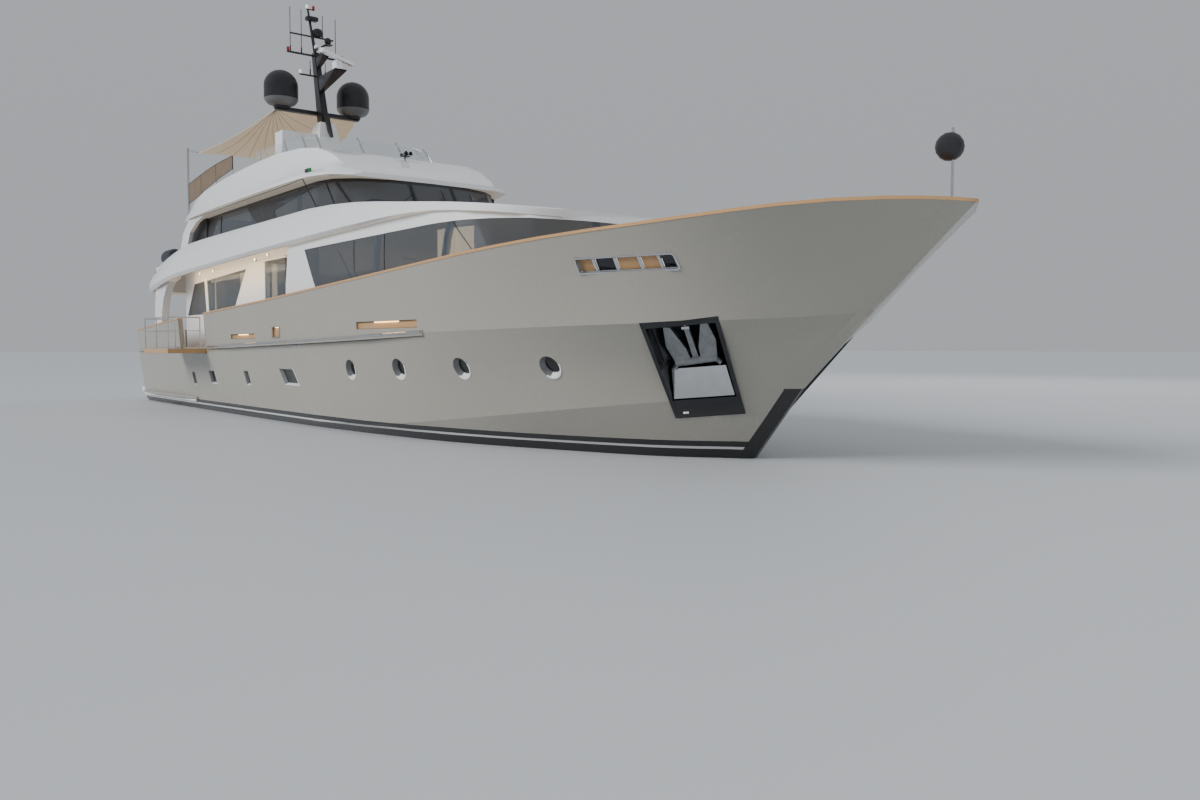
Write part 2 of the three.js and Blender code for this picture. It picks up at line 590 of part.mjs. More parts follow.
const PILLAR = {
  half: [3.24, 3.48],
  profile: [[-13.85, DECK_Z + FIT], [-12.97, DECK_Z + FIT], [-12.88, 3.2], [-12.65, 3.7], [-12.25, 4.08],
    [-11.9, 4.27], [-11.3, 4.36], [-11.3, 4.85], [-13.5, 4.85], [-13.45, 4.3], [-13.66, 3.9], [-13.8, 3.3]],
};
const RECESS = { back: -14.3, inset: 0.14 };
const recess = (gap) => upperPlan(RECESS.back + gap, HOUSE_BACK_X - gap, RECESS.inset + gap, 3,
  SOFFIT_Z - gap);
let upperDeck = bandShape()
  .subtract(recess(0))
  .subtract(upperPlan(-14.2, 0.9, 0.62, UPPER_DECK_Z, 7));
for (const side of Object.values(SIDES)) {
  const across = side < 0 ? [-PILLAR.half[1], -PILLAR.half[0]] : PILLAR.half;
  upperDeck = join(upperDeck, prism("y", PILLAR.profile, across));
}

// Main deckhouse: hollow saloon aft and wide cabin forward, with its windows and doorways cut
const SALOON = { back: -12.15, half: 2.85, wall: 0.1 };
const SALOON_WINDOW = [[-11.95, 3.1], [-11.1, 4.16], [-5.8, 4.36], [-7.02, 3.1]];
const SALOON_MULLION = [[-9.55, 2.9], [-9.17, 2.9], [-9.1, 4.6], [-9.48, 4.6]];
const CABIN_WINDOW = [[0.62, 4.4], [1.45, 3.42], [8.5, 3.72], [11, 3.78], [11, 4.42]];
const SIDE_DOOR = { back: -4.0, front: -2.45, low: 2.06, high: 4.43 };
const AFT_DOOR = { half: 1.5, low: 2.06, high: 4.4 };
const GLASS = 0.024;

const saloonOuter = box([SALOON.back, HOUSE_BACK_X + 0.2], [-SALOON.half, SALOON.half],
  [DECK_Z + FIT, HOUSE_TOP_Z]);
const saloonInner = box([SALOON.back + SALOON.wall, HOUSE_BACK_X + 0.3],
  [-SALOON.half + SALOON.wall, SALOON.half - SALOON.wall], [DECK_Z - 1, HOUSE_TOP_Z + 1]);
const cabinInner = houseShape(HOUSE_WALL, DECK_Z - 0.5, HOUSE_TOP_Z + 0.5);
const cabinOpening = prism("y", CABIN_WINDOW, [-5, 5]);
let deckhouse = join(saloonOuter, houseShape(0)).subtract(join(saloonInner, cabinInner));
// Niche under each saloon window, which takes the balcony's stanchions when it is up
const NICHE = { ends: [-9.9, -6.8], back: 2.62, wall: 0.05, low: 2.02, high: 3.03 };
for (const side of Object.values(SIDES)) {
  const span = (deep, outer) => (side < 0 ? [-outer, -deep] : [deep, outer]);
  deckhouse = join(deckhouse, box([NICHE.ends[0] - NICHE.wall, NICHE.ends[1] + NICHE.wall],
    span(NICHE.back - NICHE.wall, SALOON.half), [DECK_Z + FIT, NICHE.high + NICHE.wall]));
  deckhouse = deckhouse.subtract(box(NICHE.ends, span(NICHE.back, SALOON.half + 1), [NICHE.low, NICHE.high]));
}
const underDeck = join(bandShape(FIT).subtract(recess(FIT)), box([-20, 20], [-5, 5], [SOFFIT_Z - FIT, 9]));
deckhouse = deckhouse.subtract(underDeck);
const saloonOpening = prism("y", SALOON_WINDOW, [-5, 5]).subtract(prism("y", SALOON_MULLION, [-5, 5]));
const saloonRebate = prism("y", SALOON_WINDOW, [-5, 5])
  .subtract(box([SALOON.back - 1, 0], [-SALOON.half + GLASS, SALOON.half - GLASS], [0, 9]));
deckhouse = deckhouse
  .subtract(saloonOpening)
  .subtract(saloonRebate)
  .subtract(cabinOpening)
  .subtract(box([SIDE_DOOR.back, SIDE_DOOR.front], [-5, 5], [SIDE_DOOR.low, SIDE_DOOR.high]))
  .subtract(box([SALOON.back - 1, SALOON.back + 0.5], [-AFT_DOOR.half, AFT_DOOR.half],
    [AFT_DOOR.low, AFT_DOOR.high]));

// Structural bars left inside the cabin glass, level with the inner half of the wall
const CABIN_BARS = [[4.6, 4.75], [7.55, 7.7]];
const innerHalf = houseShape(GLASS + 0.004 + FIT, DECK_Z, HOUSE_TOP_Z)
  .subtract(houseShape(HOUSE_WALL, DECK_Z - 0.5, HOUSE_TOP_Z + 0.5));
const bars = CABIN_BARS.map(([back, front]) => box([back, front], [-5, 5], [2.5, 5]));
const frontBars = [-1, 1].map((side) => box([8, 11], [side * 1.1 - 0.06, side * 1.1 + 0.06], [2.5, 5]));
const barSolid = innerHalf.intersect(join(...bars, ...frontBars)).subtract(underDeck)
  .intersect(box([0, 11], [-5, 5], [3.3, 9]));
const DOOR_RAIL = { high: 0.05, gap: 0.0008, out: 0.075 };
const sideRails = Object.values(SIDES).map((side) => box([SIDE_DOOR.back - 1.42, SIDE_DOOR.front + 0.05],
  side < 0 ? [-SALOON.half - DOOR_RAIL.out, -SALOON.half + 0.02]
    : [SALOON.half - 0.02, SALOON.half + DOOR_RAIL.out],
  [SIDE_DOOR.high + 0.03 + DOOR_RAIL.gap, SIDE_DOOR.high + 0.03 + DOOR_RAIL.gap + DOOR_RAIL.high]));
const aftRail = box([SALOON.back - DOOR_RAIL.out, SALOON.back + 0.02],
  [-SALOON.half + 0.02, SALOON.half - 0.02],
  [AFT_DOOR.high + 0.03 + DOOR_RAIL.gap, AFT_DOOR.high + 0.03 + DOOR_RAIL.gap + DOOR_RAIL.high]);
deckhouse = mainBody(join(deckhouse, barSolid, ...sideRails, aftRail));
addPiece("main_deckhouse", deckhouse, "white");
upperDeck = upperDeck.subtract(houseShape(-FIT).intersect(box([-3, 12], [-5, 5], [0, 3])));
addPiece("upper_deck", upperDeck, "white");

const cabinGlass = houseShape(0.004).subtract(houseShape(0.004 + GLASS, DECK_Z - 0.5, HOUSE_TOP_Z + 0.5))
  .intersect(cabinOpening.intersect(prism("y", CABIN_WINDOW.map(([x, z]) => [x + (x < 2 ? 0.006 : 0),
    z + (z > 4 ? -0.004 : 0.004)]), [-5, 5])));
addPiece("cabin_glass", cabinGlass, "glass");

const PANE_SCALE = 0.997;
const windowMiddle = [0, 1].map((i) => (
  SALOON_WINDOW.reduce((sum, corner) => sum + corner[i], 0) / SALOON_WINDOW.length));
const saloonPane = SALOON_WINDOW.map((corner) => (
  corner.map((value, i) => windowMiddle[i] + (value - windowMiddle[i]) * PANE_SCALE)));
for (const [name, side] of Object.entries(SIDES)) {
  const across = side < 0 ? [-SALOON.half, -SALOON.half + GLASS - FIT]
    : [SALOON.half - GLASS + FIT, SALOON.half];
  addPiece(`saloon_glass_${name}`, prism("y", saloonPane, across), "glass");
}

// Sliding doors: side doors run aft outside the wall, the aft doors run outward past the bulkhead
for (const [name, side] of Object.entries(SIDES)) {
  const skin = SALOON.half + 0.012;
  const across = side < 0 ? [-skin - 0.045, -skin] : [skin, skin + 0.045];
  addPiece(`side_door_${name}`, box([SIDE_DOOR.back - 0.04, SIDE_DOOR.front + 0.04], across,
    [SIDE_DOOR.low - 0.03, SIDE_DOOR.high + 0.03]), "glass");
  const leaf = side < 0 ? [-AFT_DOOR.half - 0.04, -0.004] : [0.004, AFT_DOOR.half + 0.04];
  addPiece(`saloon_door_${name}`, box([SALOON.back - 0.057, SALOON.back - 0.012], leaf,
    [AFT_DOOR.low - 0.03, AFT_DOOR.high + 0.03]), "glass");
}

// Balconies, lowered: a panel with teak on top and a rail round its outer edge
for (const [name, side] of Object.entries(SIDES)) {
  const [pinY, pinZ] = BALCONY.pin;
  const half = BALCONY.thickness / 2;
  const across = side < 0 ? [-BALCONY.out, -pinY] : [pinY, BALCONY.out];
  const top = pinZ + half + BALCONY.rail;
  const edge = side * (BALCONY.out - 0.04);
  const inner = side * (pinY + 0.16);
  const corners = [[BALCONY.back + 0.04, inner], [BALCONY.back + 0.04, edge],
    [BALCONY.front - 0.04, edge], [BALCONY.front - 0.04, inner]];
  let balcony = join(
    box([BALCONY.back, BALCONY.front], across, [pinZ - half, pinZ + half]),
    rod([BALCONY.back, side * pinY, pinZ], [BALCONY.front, side * pinY, pinZ], half - 0.0002, 10),
    rod([BALCONY.back - 0.05, side * pinY, pinZ], [BALCONY.front + 0.05, side * pinY, pinZ],
      BALCONY.pinRadius, 10));
  const middle = (BALCONY.back + BALCONY.front) / 2;
  const posts = [...corners, [middle, edge]];
  for (const [x, y] of posts) balcony = join(balcony, rod([x, y, pinZ], [x, y, top], 0.018, 6));
  for (const z of [top - 0.018, top - 0.42]) {
    for (let i = 0; i < corners.length - 1; i += 1) {
      const radius = z > top - 0.1 ? 0.018 : 0.01;
      balcony = join(balcony, rod([...corners[i], z], [...corners[i + 1], z], radius, 6));
    }
  }
  addPiece(`balcony_${name}`, balcony, "teak");
}

// Upper deckhouse with the wheelhouse in its raked front
const UPPER_HOUSE = {
  foot: [[1.55, 0], [1.45, 1.2], [1.1, 2.0], [0.55, 2.5], [-0.3, 2.65], [-10.4, 2.65]],
  top: [[0.3, 0], [0.22, 1.15], [-0.05, 1.9], [-0.5, 2.38], [-1.2, 2.55], [-10.4, 2.55]],
  low: UPPER_DECK_Z + FIT, high: ROOF_Z + 0.4, wall: 0.08,
};
const UPPER_WINDOW = [[-10.0, 5.5], [-9.2, 6.3], [3, 6.3], [3, 5.5]];
const UPPER_DOOR = { half: 1.3, low: UPPER_DECK_Z + 0.06, high: 6.2 };

function upperHouse(inset, low = UPPER_HOUSE.low, high = UPPER_HOUSE.high) {
  const corners = [];
  for (const z of [low, high]) {
    const rise = (z - UPPER_HOUSE.low) / (UPPER_HOUSE.high - UPPER_HOUSE.low);
    UPPER_HOUSE.foot.forEach((foot, i) => {
      const [x, half] = between(foot, UPPER_HOUSE.top[i], rise);
      const place = x < -5 ? x + inset : x - inset;
      const out = half > 0 ? half - inset : 0;
      corners.push([place, out, z], [place, -out, z]);
    });
  }
  return hullOf(corners);
}

// Sundeck moulding: roof with a sloping brow, coaming round the sundeck and two aft fashion plates
const SUNDECK = {
  along: [-12.7, -12.3, -11.5, -10.3, -8.1, -6.5, -5.4, -4, -2.5, -1.5, -0.6, 0.1, 0.55],
  low: [6.3, 6.32, 6.34, 6.36, 6.38, 6.38, 6.38, 6.38, 6.38, 6.38, 6.38, 6.38, 6.38],
  top: [6.58, 6.82, 7.03, 7.24, 7.4, 7.49, 7.54, 7.57, 7.51, 7.38, 7.08, 6.7, 6.5],
  edge: [2.5, 2.8, 2.95, 3.02, 3.05, 3.06, 3.06, 3.06, 3.05, 3.02, 2.95, 2.72, 2.2],
  crown: [2.4, 2.6, 2.68, 2.7, 2.68, 2.62, 2.56, 2.5, 2.4, 2.3, 2.25, 2.2, 1.9],
};

function sundeckRing(x, inset = 0) {
  const at = (name) => curve(SUNDECK.along, SUNDECK[name], x);
  const tall = at("top") - at("low");
  const lip = Math.min(0.14, 0.4 * tall);
  return mirrored(x, [[at("edge") - 0.1 + inset, at("low") - inset],
    [at("edge") + inset, at("low") + 0.3 * lip], [at("edge") - 0.02 + inset, at("low") + lip],
    [at("crown") + 0.1 + inset, at("low") + 0.45 * tall + 0.5 * lip],
    [at("crown") + inset, at("top") + inset]]);
}

function sundeckShape(inset = 0) {
  return loft(SUNDECK.along.map((x) => sundeckRing(x, inset)));
}

const sundeckWell = prism("z", [[-12.45, -2.3], [-5, -2.36], [-2.4, -2.05], [-1.95, -1.6], [-1.75, 0],
  [-1.95, 1.6], [-2.4, 2.05], [-5, 2.36], [-12.45, 2.3]], [SUNDECK_Z, 9]);
const FASHION = [[-9.3, 6.42], [-11.3, 6.42], [-12.1, 5.95], [-12.4, 5.5], [-12.45, UPPER_DECK_Z + FIT],
  [-11.65, UPPER_DECK_Z + FIT], [-11.52, 5.62], [-11.25, 5.95], [-10.5, 6.22]];
let sundeck = sundeckShape().subtract(sundeckWell);
for (const side of Object.values(SIDES)) {
  sundeck = join(sundeck, prism("y", FASHION, side < 0 ? [-2.92, -2.8] : [2.8, 2.92]));
}
addPiece("sundeck", sundeck, "white");

let wheelhouse = upperHouse(0)
  .subtract(upperHouse(UPPER_HOUSE.wall, UPPER_HOUSE.low - 0.5, UPPER_HOUSE.high + 0.5));
wheelhouse = wheelhouse.subtract(box([-20, 20], [-5, 5], [ROOF_Z - FIT, 9])).subtract(sundeckShape(FIT));
const upperOpening = prism("y", UPPER_WINDOW, [-5, 5]);
const UPPER_BARS = [[-6.1, -5.6], [-2.3, -2.1]];
const upperBars = join(...UPPER_BARS.map(([back, front]) => box([back, front], [-5, 5], [5, 7])),
  ...[-0.62, 0.62].map((y) => box([0, 3], [y - 0.05, y + 0.05], [5, 7])));
const upperRebate = upperOpening.subtract(upperHouse(0.03, UPPER_HOUSE.low - 0.5, UPPER_HOUSE.high + 0.5));
wheelhouse = wheelhouse.subtract(upperOpening.subtract(upperBars)).subtract(upperRebate)
  .subtract(box([-11, -10], [-UPPER_DOOR.half, UPPER_DOOR.half], [UPPER_DOOR.low, UPPER_DOOR.high]));
const upperRailBox = box([UPPER_HOUSE.foot[5][0] - 0.075, UPPER_HOUSE.foot[5][0] + 0.02], [-2.5, 2.5],
  [UPPER_DOOR.high + 0.03 + DOOR_RAIL.gap, UPPER_DOOR.high + 0.03 + DOOR_RAIL.gap + DOOR_RAIL.high]);
const WING = { back: -12.2, across: [2.57, 2.63] };
const wings = Object.values(SIDES).map((side) => box([WING.back, UPPER_HOUSE.foot[5][0] + 0.05],
  side < 0 ? [-WING.across[1], -WING.across[0]] : WING.across, [UPPER_HOUSE.low, ROOF_Z])
  .subtract(sundeckShape(FIT)));
wheelhouse = join(wheelhouse, upperRailBox, ...wings);
const upperEdge = bandShape(FIT).subtract(upperPlan(-14.2, 0.9, 0.62, UPPER_DECK_Z, 7));
wheelhouse = mainBody(wheelhouse.subtract(upperEdge));
addPiece("wheelhouse", wheelhouse, "white");
const upperGlassOpening = prism("y", UPPER_WINDOW.map(([x, z]) => [x + (x < -9.5 ? 0.006 : 0),
  z + (z > 6 ? -0.004 : 0.004)]), [-5, 5]);
const upperGlass = upperHouse(0.003)
  .subtract(upperHouse(0.03 - FIT, UPPER_HOUSE.low - 0.5, UPPER_HOUSE.high + 0.5))
  .intersect(upperGlassOpening).subtract(box([-11, -9.9], [-2.4, 2.4], [5, 7]));
addPiece("wheelhouse_glass", mainBody(upperGlass), "glass");
for (const [name, side] of Object.entries(SIDES)) {
  const leaf = side < 0 ? [-UPPER_DOOR.half - 0.04, -0.006] : [0.006, UPPER_DOOR.half + 0.04];
  const doorHeight = [UPPER_DOOR.low - 0.03, UPPER_DOOR.high + 0.03];
  addPiece(`upper_door_${name}`, box([-10.457, -10.412], leaf, doorHeight), "glass");
}

// Sundeck windscreen, standing on the coaming
const SCREEN = {
  plan: [[-1.64, 0], [-1.76, 1.2], [-2.06, 1.82], [-2.55, 2.18], [-4, 2.37], [-6.2, 2.5]],
  top: 7.97,
  thickness: 0.02,
  rake: 0.95,
};
const screenSide = (inset) => SCREEN.plan.map(([x, half]) => [x - inset, half > 0 ? half - inset : 0]);
const otherScreenSide = (inset) => screenSide(inset).reverse().map(([x, half]) => [x, -half]);
const screenPlan = (inset) => [...screenSide(inset), ...otherScreenSide(inset)]
  .filter(([, half], i, all) => i === 0 || half !== 0 || all[i - 1][1] !== 0);
const screenAt = (inset, z) => screenPlan(inset).map(([x, y]) => {
  const rake = Math.max(0, Math.min(1, (x + 6.2) / 2.4)) * SCREEN.rake * (z - 7);
  return [x - rake, y * (1 - 0.05 * (z - 7)), z];
});
const screenOuter = hullOf([...screenAt(0, 7), ...screenAt(0, SCREEN.top)]);
const screenInner = hullOf([...screenAt(SCREEN.thickness, 6.9),
  ...screenAt(SCREEN.thickness, SCREEN.top + 0.1)]);
addPiece("sundeck_windscreen", mainBody(screenOuter.subtract(screenInner)
  .subtract(box([-7, -6.1], [-5, 5], [6, 9])).subtract(sundeckShape(FIT))), "glass");

// Mast and what it carries
const MAST = { foot: -6.6, base: 9.2, barX: -7.04, barZ: 9.61, barHalf: 1.4, top: 13.3, topX: -7.83 };
const RADAR = { x: -5.45, z: 10.66, halfSpan: 0.85, halfDepth: 0.07, turn: (123 * Math.PI) / 180 };
const DOME_Y = 1.22;
const DOME_FOOT = 9.68;
const mastAt = (z) => MAST.foot - 0.25 * (z - MAST.base);
const slab = (x, halfX, halfY, z) => [[x - halfX, -halfY, z], [x + halfX, -halfY, z], [x + halfX, halfY, z],
  [x - halfX, halfY, z]];
const mastSpur = (gap) => hullOf([...slab(-6.5, 0.14 + gap, 0.09 + gap, 9.5),
  ...slab(-5.95, 0.06 + gap, 0.03 + gap, 8.68 - gap)]);
addPiece("mast_base", hullOf([...slab(-6.5, 0.85, 0.5, SUNDECK_Z + FIT), ...slab(-6.5, 0.52, 0.42, 8.2),
  ...slab(-6.58, 0.3, 0.24, MAST.base)]).subtract(mastSpur(FIT)), "white");
const mast = join(
  hullOf([...slab(mastAt(MAST.base), 0.2, 0.12, MAST.base + FIT), ...slab(mastAt(11.6), 0.12, 0.08, 11.6)]),
  mastSpur(0),
  rod([mastAt(11.5), 0, 11.5], [MAST.topX, 0, MAST.top], 0.06, 10, 0.03),
  box([MAST.barX - 0.09, MAST.barX + 0.09], [-MAST.barHalf, MAST.barHalf],
    [MAST.barZ - 0.06, MAST.barZ + 0.06]),
  box([MAST.barX, mastAt(MAST.barZ) + 0.05], [-0.1, 0.1], [MAST.barZ - 0.06, MAST.barZ + 0.06]),
  rod([MAST.barX, -DOME_Y, MAST.barZ], [MAST.barX, -DOME_Y, DOME_FOOT], 0.24, 12),
  rod([MAST.barX, DOME_Y, MAST.barZ], [MAST.barX, DOME_Y, DOME_FOOT], 0.24, 12),
  hullOf([...slab(-6.95, 0.05, 0.05, 10.2), ...slab(-7.0, 0.05, 0.05, 10.75),
    ...slab(RADAR.x, 0.3, 0.2, RADAR.z), ...slab(RADAR.x, 0.28, 0.16, RADAR.z - 0.06)]),
  hullOf([...slab(-7.1, 0.05, 0.04, 11.0), ...slab(-7.1, 0.05, 0.05, 11.35),
    ...slab(-6.35, 0.16, 0.14, 11.42), ...slab(-6.35, 0.14, 0.12, 11.38)]),
  rod([mastAt(10.8), -0.62, 10.8], [mastAt(10.8), 0.62, 10.8], 0.03, 6),
  rod([mastAt(11.5), -0.95, 11.5], [mastAt(11.5), 0.95, 11.5], 0.035, 6),
  rod([-7.47, -0.74, 12.2], [-7.47, 0.74, 12.2], 0.028, 6),
  turned([[0, 0], [0.17, 0], [0.17, 0.22], [0.12, 0.3], [0, 0.3]], [RADAR.x, 0, RADAR.z - 0.001], 14));
addPiece("mast", mast, "black");
const domeProfile = [[0, 0], [0.27, 0], [0.46, 0.13], [0.53, 0.36], [0.53, 0.64], [0.485, 0.84], [0.37, 1.01],
  [0.2, 1.11], [0, 1.14]];
for (const [name, side] of Object.entries(SIDES)) {
  const dome = turned(domeProfile, [MAST.barX, side * DOME_Y, DOME_FOOT + FIT], 18);
  addPiece(`satellite_dome_${name}`, dome, "black");
}
const scannerCorners = [0.36, 0.47].flatMap((rise) => [[-1, -1], [1, -1], [1, 1], [-1, 1]].map(([s, t]) => [
  RADAR.x + s * RADAR.halfSpan * Math.cos(RADAR.turn) - t * RADAR.halfDepth * Math.sin(RADAR.turn),
  s * RADAR.halfSpan * Math.sin(RADAR.turn) + t * RADAR.halfDepth * Math.cos(RADAR.turn),
  RADAR.z + rise]));
addPiece("radar_scanner", join(rod([RADAR.x, 0, RADAR.z + 0.2998], [RADAR.x, 0, RADAR.z + 0.37], 0.06, 14),
  hullOf(scannerCorners)), "white");

// Sun awning: one sheet drawn tight from the ends of the mast bar to two poles aft
const AWNING = [
  { x: MAST.barX - 0.0905, half: 1.36, edge: 9.6, middle: 9.6 },
  { x: -8.7, half: 1.7, edge: 9.28, middle: 9.2 },
  { x: -10.3, half: 2.04, edge: 9.0, middle: 8.92 },
  { x: -11.8, half: 2.4, edge: 8.8, middle: 8.84 },
];
const AWNING_ACROSS = [-1, -0.5, 0, 0.5, 1];
const CLOTH = 0.008;
function awningAt({ x, half, edge, middle }, across) {
  return [x, half * across, edge + (middle - edge) * (1 - across * across)];
}
const cloths = [];
for (let i = 0; i < AWNING.length - 1; i += 1) {
  for (let j = 0; j < AWNING_ACROSS.length - 1; j += 1) {
    const [a, b] = [awningAt(AWNING[i], AWNING_ACROSS[j]), awningAt(AWNING[i], AWNING_ACROSS[j + 1])];
    const [c, d] = [awningAt(AWNING[i + 1], AWNING_ACROSS[j + 1]), awningAt(AWNING[i + 1], AWNING_ACROSS[j])];
    for (const corners of [[a, b, c], [a, c, d]]) {
      cloths.push(hullOf([...corners, ...corners.map(([x, y, z]) => [x, y, z - CLOTH])]));
    }
  }
}
addPiece("awning", join(...cloths), "canvas");
const POLE = { x: -12.38, y: 2.62, top: 9.02, radius: 0.042, sides: 10, gap: 0.0006 };
const clothEnd = POLE.x + POLE.radius * Math.cos(Math.PI / POLE.sides) + POLE.gap;
const WINDBREAK = [[clothEnd, 7.07], [clothEnd, 7.76], [-10.33, 7.94], [-8.9, 8.02], [-7.6, 8.04],
  [-7.6, 7.62], [-8.95, 7.51], [-10.37, 7.34], [-11.4, 7.18]];
for (const [name, side] of Object.entries(SIDES)) {
  const pole = rod([POLE.x, side * POLE.y, 6.4], [POLE.x, side * POLE.y, POLE.top], POLE.radius, POLE.sides)
    .subtract(sundeckShape(FIT));
  addPiece(`awning_pole_${name}`, mainBody(pole), "steel");
  const cloth = prism("y", WINDBREAK, side < 0 ? [-POLE.y - 0.003, -POLE.y + 0.003]
    : [POLE.y - 0.003, POLE.y + 0.003]);
  addPiece(`windbreak_cloth_${name}`, cloth, "mesh");
}

// Sundeck fittings
addPiece("sundeck_bar", join(box([-5.45, -4.85], [-2.02, -0.9], [SUNDECK_Z + FIT, 8.47]),
  box([-4.86, -3.9], [-2.02, -1.4], [SUNDECK_Z + FIT, 7.6])), "white");
addPiece("sundeck_sofa", join(box([-3.2, -2.5], [-1.7, 1.7], [SUNDECK_Z + FIT, 7.2]),
  box([-2.5, -2.3], [-1.6, 1.6], [SUNDECK_Z + FIT, 7.4])), "cushion");
addPiece("sundeck_sunbed", box([-11.6, -9.4], [-1.5, 1.5], [SUNDECK_Z + FIT, 7.2]), "cushion");

// Upper deck: aft rail, and a covered liferaft outside it that stands partly on the starboard edge
const RAIL = {
  z: 5.95,
  plan: [[-12.95, 2.56], [-13.5, 2.52], [-14.0, 2.1], [-14.05, 0]],
  top: 0.02,
  mid: 0.012,
};
const LIFERAFT = { back: -13.9, front: -12.9, y: -2.95, z: 5.23, radius: 0.29 };
const railPoints = [...RAIL.plan, ...RAIL.plan.slice(0, -1).reverse().map(([x, y]) => [x, -y])];
let upperRail = null;
railPoints.forEach(([x, y], i) => {
  const post = rod([x, y, UPPER_DECK_Z + FIT], [x, y, RAIL.z], 0.02, 6);
  upperRail = upperRail ? join(upperRail, post) : post;
  if (i === 0) return;
  for (const [z, radius] of [[RAIL.z - 0.02, RAIL.top], [RAIL.z - 0.45, RAIL.mid]]) {
    upperRail = join(upperRail, rod([...railPoints[i - 1], z], [x, y, z], radius, 6));
  }
});
addPiece("upper_aft_rail", upperRail, "steel");
const raft = rod([LIFERAFT.back, LIFERAFT.y, LIFERAFT.z], [LIFERAFT.front, LIFERAFT.y, LIFERAFT.z],
  LIFERAFT.radius, 16)
  .subtract(box([-15, -12], [-4, 4], [4, UPPER_DECK_Z + FIT]))
  .subtract(bandShape(2 * FIT).subtract(upperPlan(-14.2, 0.9, 0.62 + 2 * FIT, UPPER_DECK_Z, 7)));
addPiece("liferaft", mainBody(raft), "cover");

// Aft deck sofa and table, and the helm seen through the windscreen
addPiece("aft_sofa", join(box([-15.3, -14.55], [-1.7, 1.7], [DECK_Z + FIT, 2.45]),
  box([-15.3, -15.05], [-1.7, 1.7], [DECK_Z + FIT, 2.6])), "cushion");
addPiece("aft_table", join(box([-14.3, -13.4], [-1.1, 1.1], [2.68, 2.73]), rod([-13.85, -0.6, DECK_Z + FIT],
  [-13.85, -0.6, 2.7], 0.09, 14), rod([-13.85, 0.6, DECK_Z + FIT], [-13.85, 0.6, 2.7], 0.09, 14)), "teak");
addPiece("helm_console", hullOf([...slab(0.1, 0.35, 1.6, UPPER_DECK_Z + FIT), ...slab(0.12, 0.28, 1.6, 5.85),
  ...slab(-0.15, 0.03, 1.6, 5.75)]), "black");

// Anchor pockets with their anchors: the anchor is let in until it bears on the pocket's floor
const ANCHOR_SEAT = 0.0026;
const ANCHOR_UP = 0.18;
const CROWN = { half: 0.36, v: -0.2, radius: 0.07 };
const FLUKE = [[-0.36, -0.2], [-0.08, -0.2], [-0.11, 0.1], [-0.26, 0.58], [-0.37, 0.6], [-0.43, 0.2]];
for (const [name, side] of Object.entries(SIDES)) {
  const block = hullOf([...pocketRing(side, 1, 0.02), ...pocketRing(side, 0.9, -POCKET_DEPTH)]);
  const hollow = hullOf([...pocketRing(side, 0.9, 0.1), ...pocketRing(side, 0.84, -POCKET_DEPTH + 0.05)]);
  addPiece(`anchor_pocket_${name}`, block.subtract(hollow), "steel");
  const middle = pocketRing(side, 0, -POCKET_DEPTH + 0.03 - ANCHOR_SEAT)[0];
  const ring = pocketRing(side, 1, 0);
  const up = new THREE.Vector3(...ring[0]).add(new THREE.Vector3(...ring[1]))
    .sub(new THREE.Vector3(...ring[2])).sub(new THREE.Vector3(...ring[3])).normalize();
  const out = new THREE.Vector3(POCKET_OUT.x, side * POCKET_OUT.y, POCKET_OUT.z);
  const across = new THREE.Vector3().crossVectors(up, out).normalize();
  const at = (u, v, w) => new THREE.Vector3(...middle).addScaledVector(across, u)
    .addScaledVector(up, v + ANCHOR_UP).addScaledVector(out, w).toArray();
  const plate = (corners, low, high) => hullOf(corners.flatMap(([u, v]) => [at(u, v, low), at(u, v, high)]));
  const anchor = join(
    plate([[-0.05, -0.2], [0.05, -0.2], [0.04, 0.56], [-0.04, 0.56]], 0.02, 0.1),
    rod(at(-CROWN.half, CROWN.v, 0.09), at(CROWN.half, CROWN.v, 0.09), CROWN.radius, 12),
    ...[-1, 1].map((hand) => plate(FLUKE.map(([u, v]) => [hand * u, v]), 0.05, 0.12)),
    ...[-1, 1].map((hand) => rod(at(hand * 0.33, -0.2, 0.09), at(hand * 0.41, -0.29, 0.13), 0.05, 10)));
  addPiece(`anchor_${name}`, anchor, "steel");
}

// Bow: jackstaff with its day shape, windlass and a hatch in the foredeck
const JACK = { x: 16.33, foot: heightOf(HULL_LINES.sheer, 16.33) + 0.03, top: 5.17, ball: 4.9, radius: 0.21 };
const ballProfile = [...Array(9).keys()].map((i) => {
  const angle = (i / 8 - 0.5) * Math.PI;
  return [JACK.radius * Math.cos(angle), JACK.radius * Math.sin(angle)];
});
addPiece("jackstaff", join(rod([JACK.x, 0, JACK.foot], [JACK.x, 0, JACK.top], 0.022, 10),
  rod([JACK.x, 0, JACK.foot], [JACK.x, 0, JACK.foot + 0.05], 0.06, 10),
  turned(ballProfile, [JACK.x - 0.05, 0, JACK.ball], 14)).subtract(capRail.translate([0, 0, FIT])), "black");
const CAPSTAN = [[0, 0], [0.2, 0], [0.13, 0.12], [0.12, 0.3], [0.2, 0.4], [0, 0.4]];
addPiece("windlass", join(box([13.5, 14.2], [-0.75, 0.75], [FOREDECK_Z + FIT, 3.12]),
  turned(CAPSTAN, [13.85, -0.5, 3.1], 12),
  turned(CAPSTAN, [13.85, 0.5, 3.1], 12)), "steel");
addPiece("foredeck_hatch", box([12.08, 13.02], [-0.47, 0.47], [3.2008, 3.25]), "white");
addPiece("foredeck_sunpad", box([10.3, 11.6], [-1.4, 1.4], [FOREDECK_Z + FIT, 3.4]), "cushion");

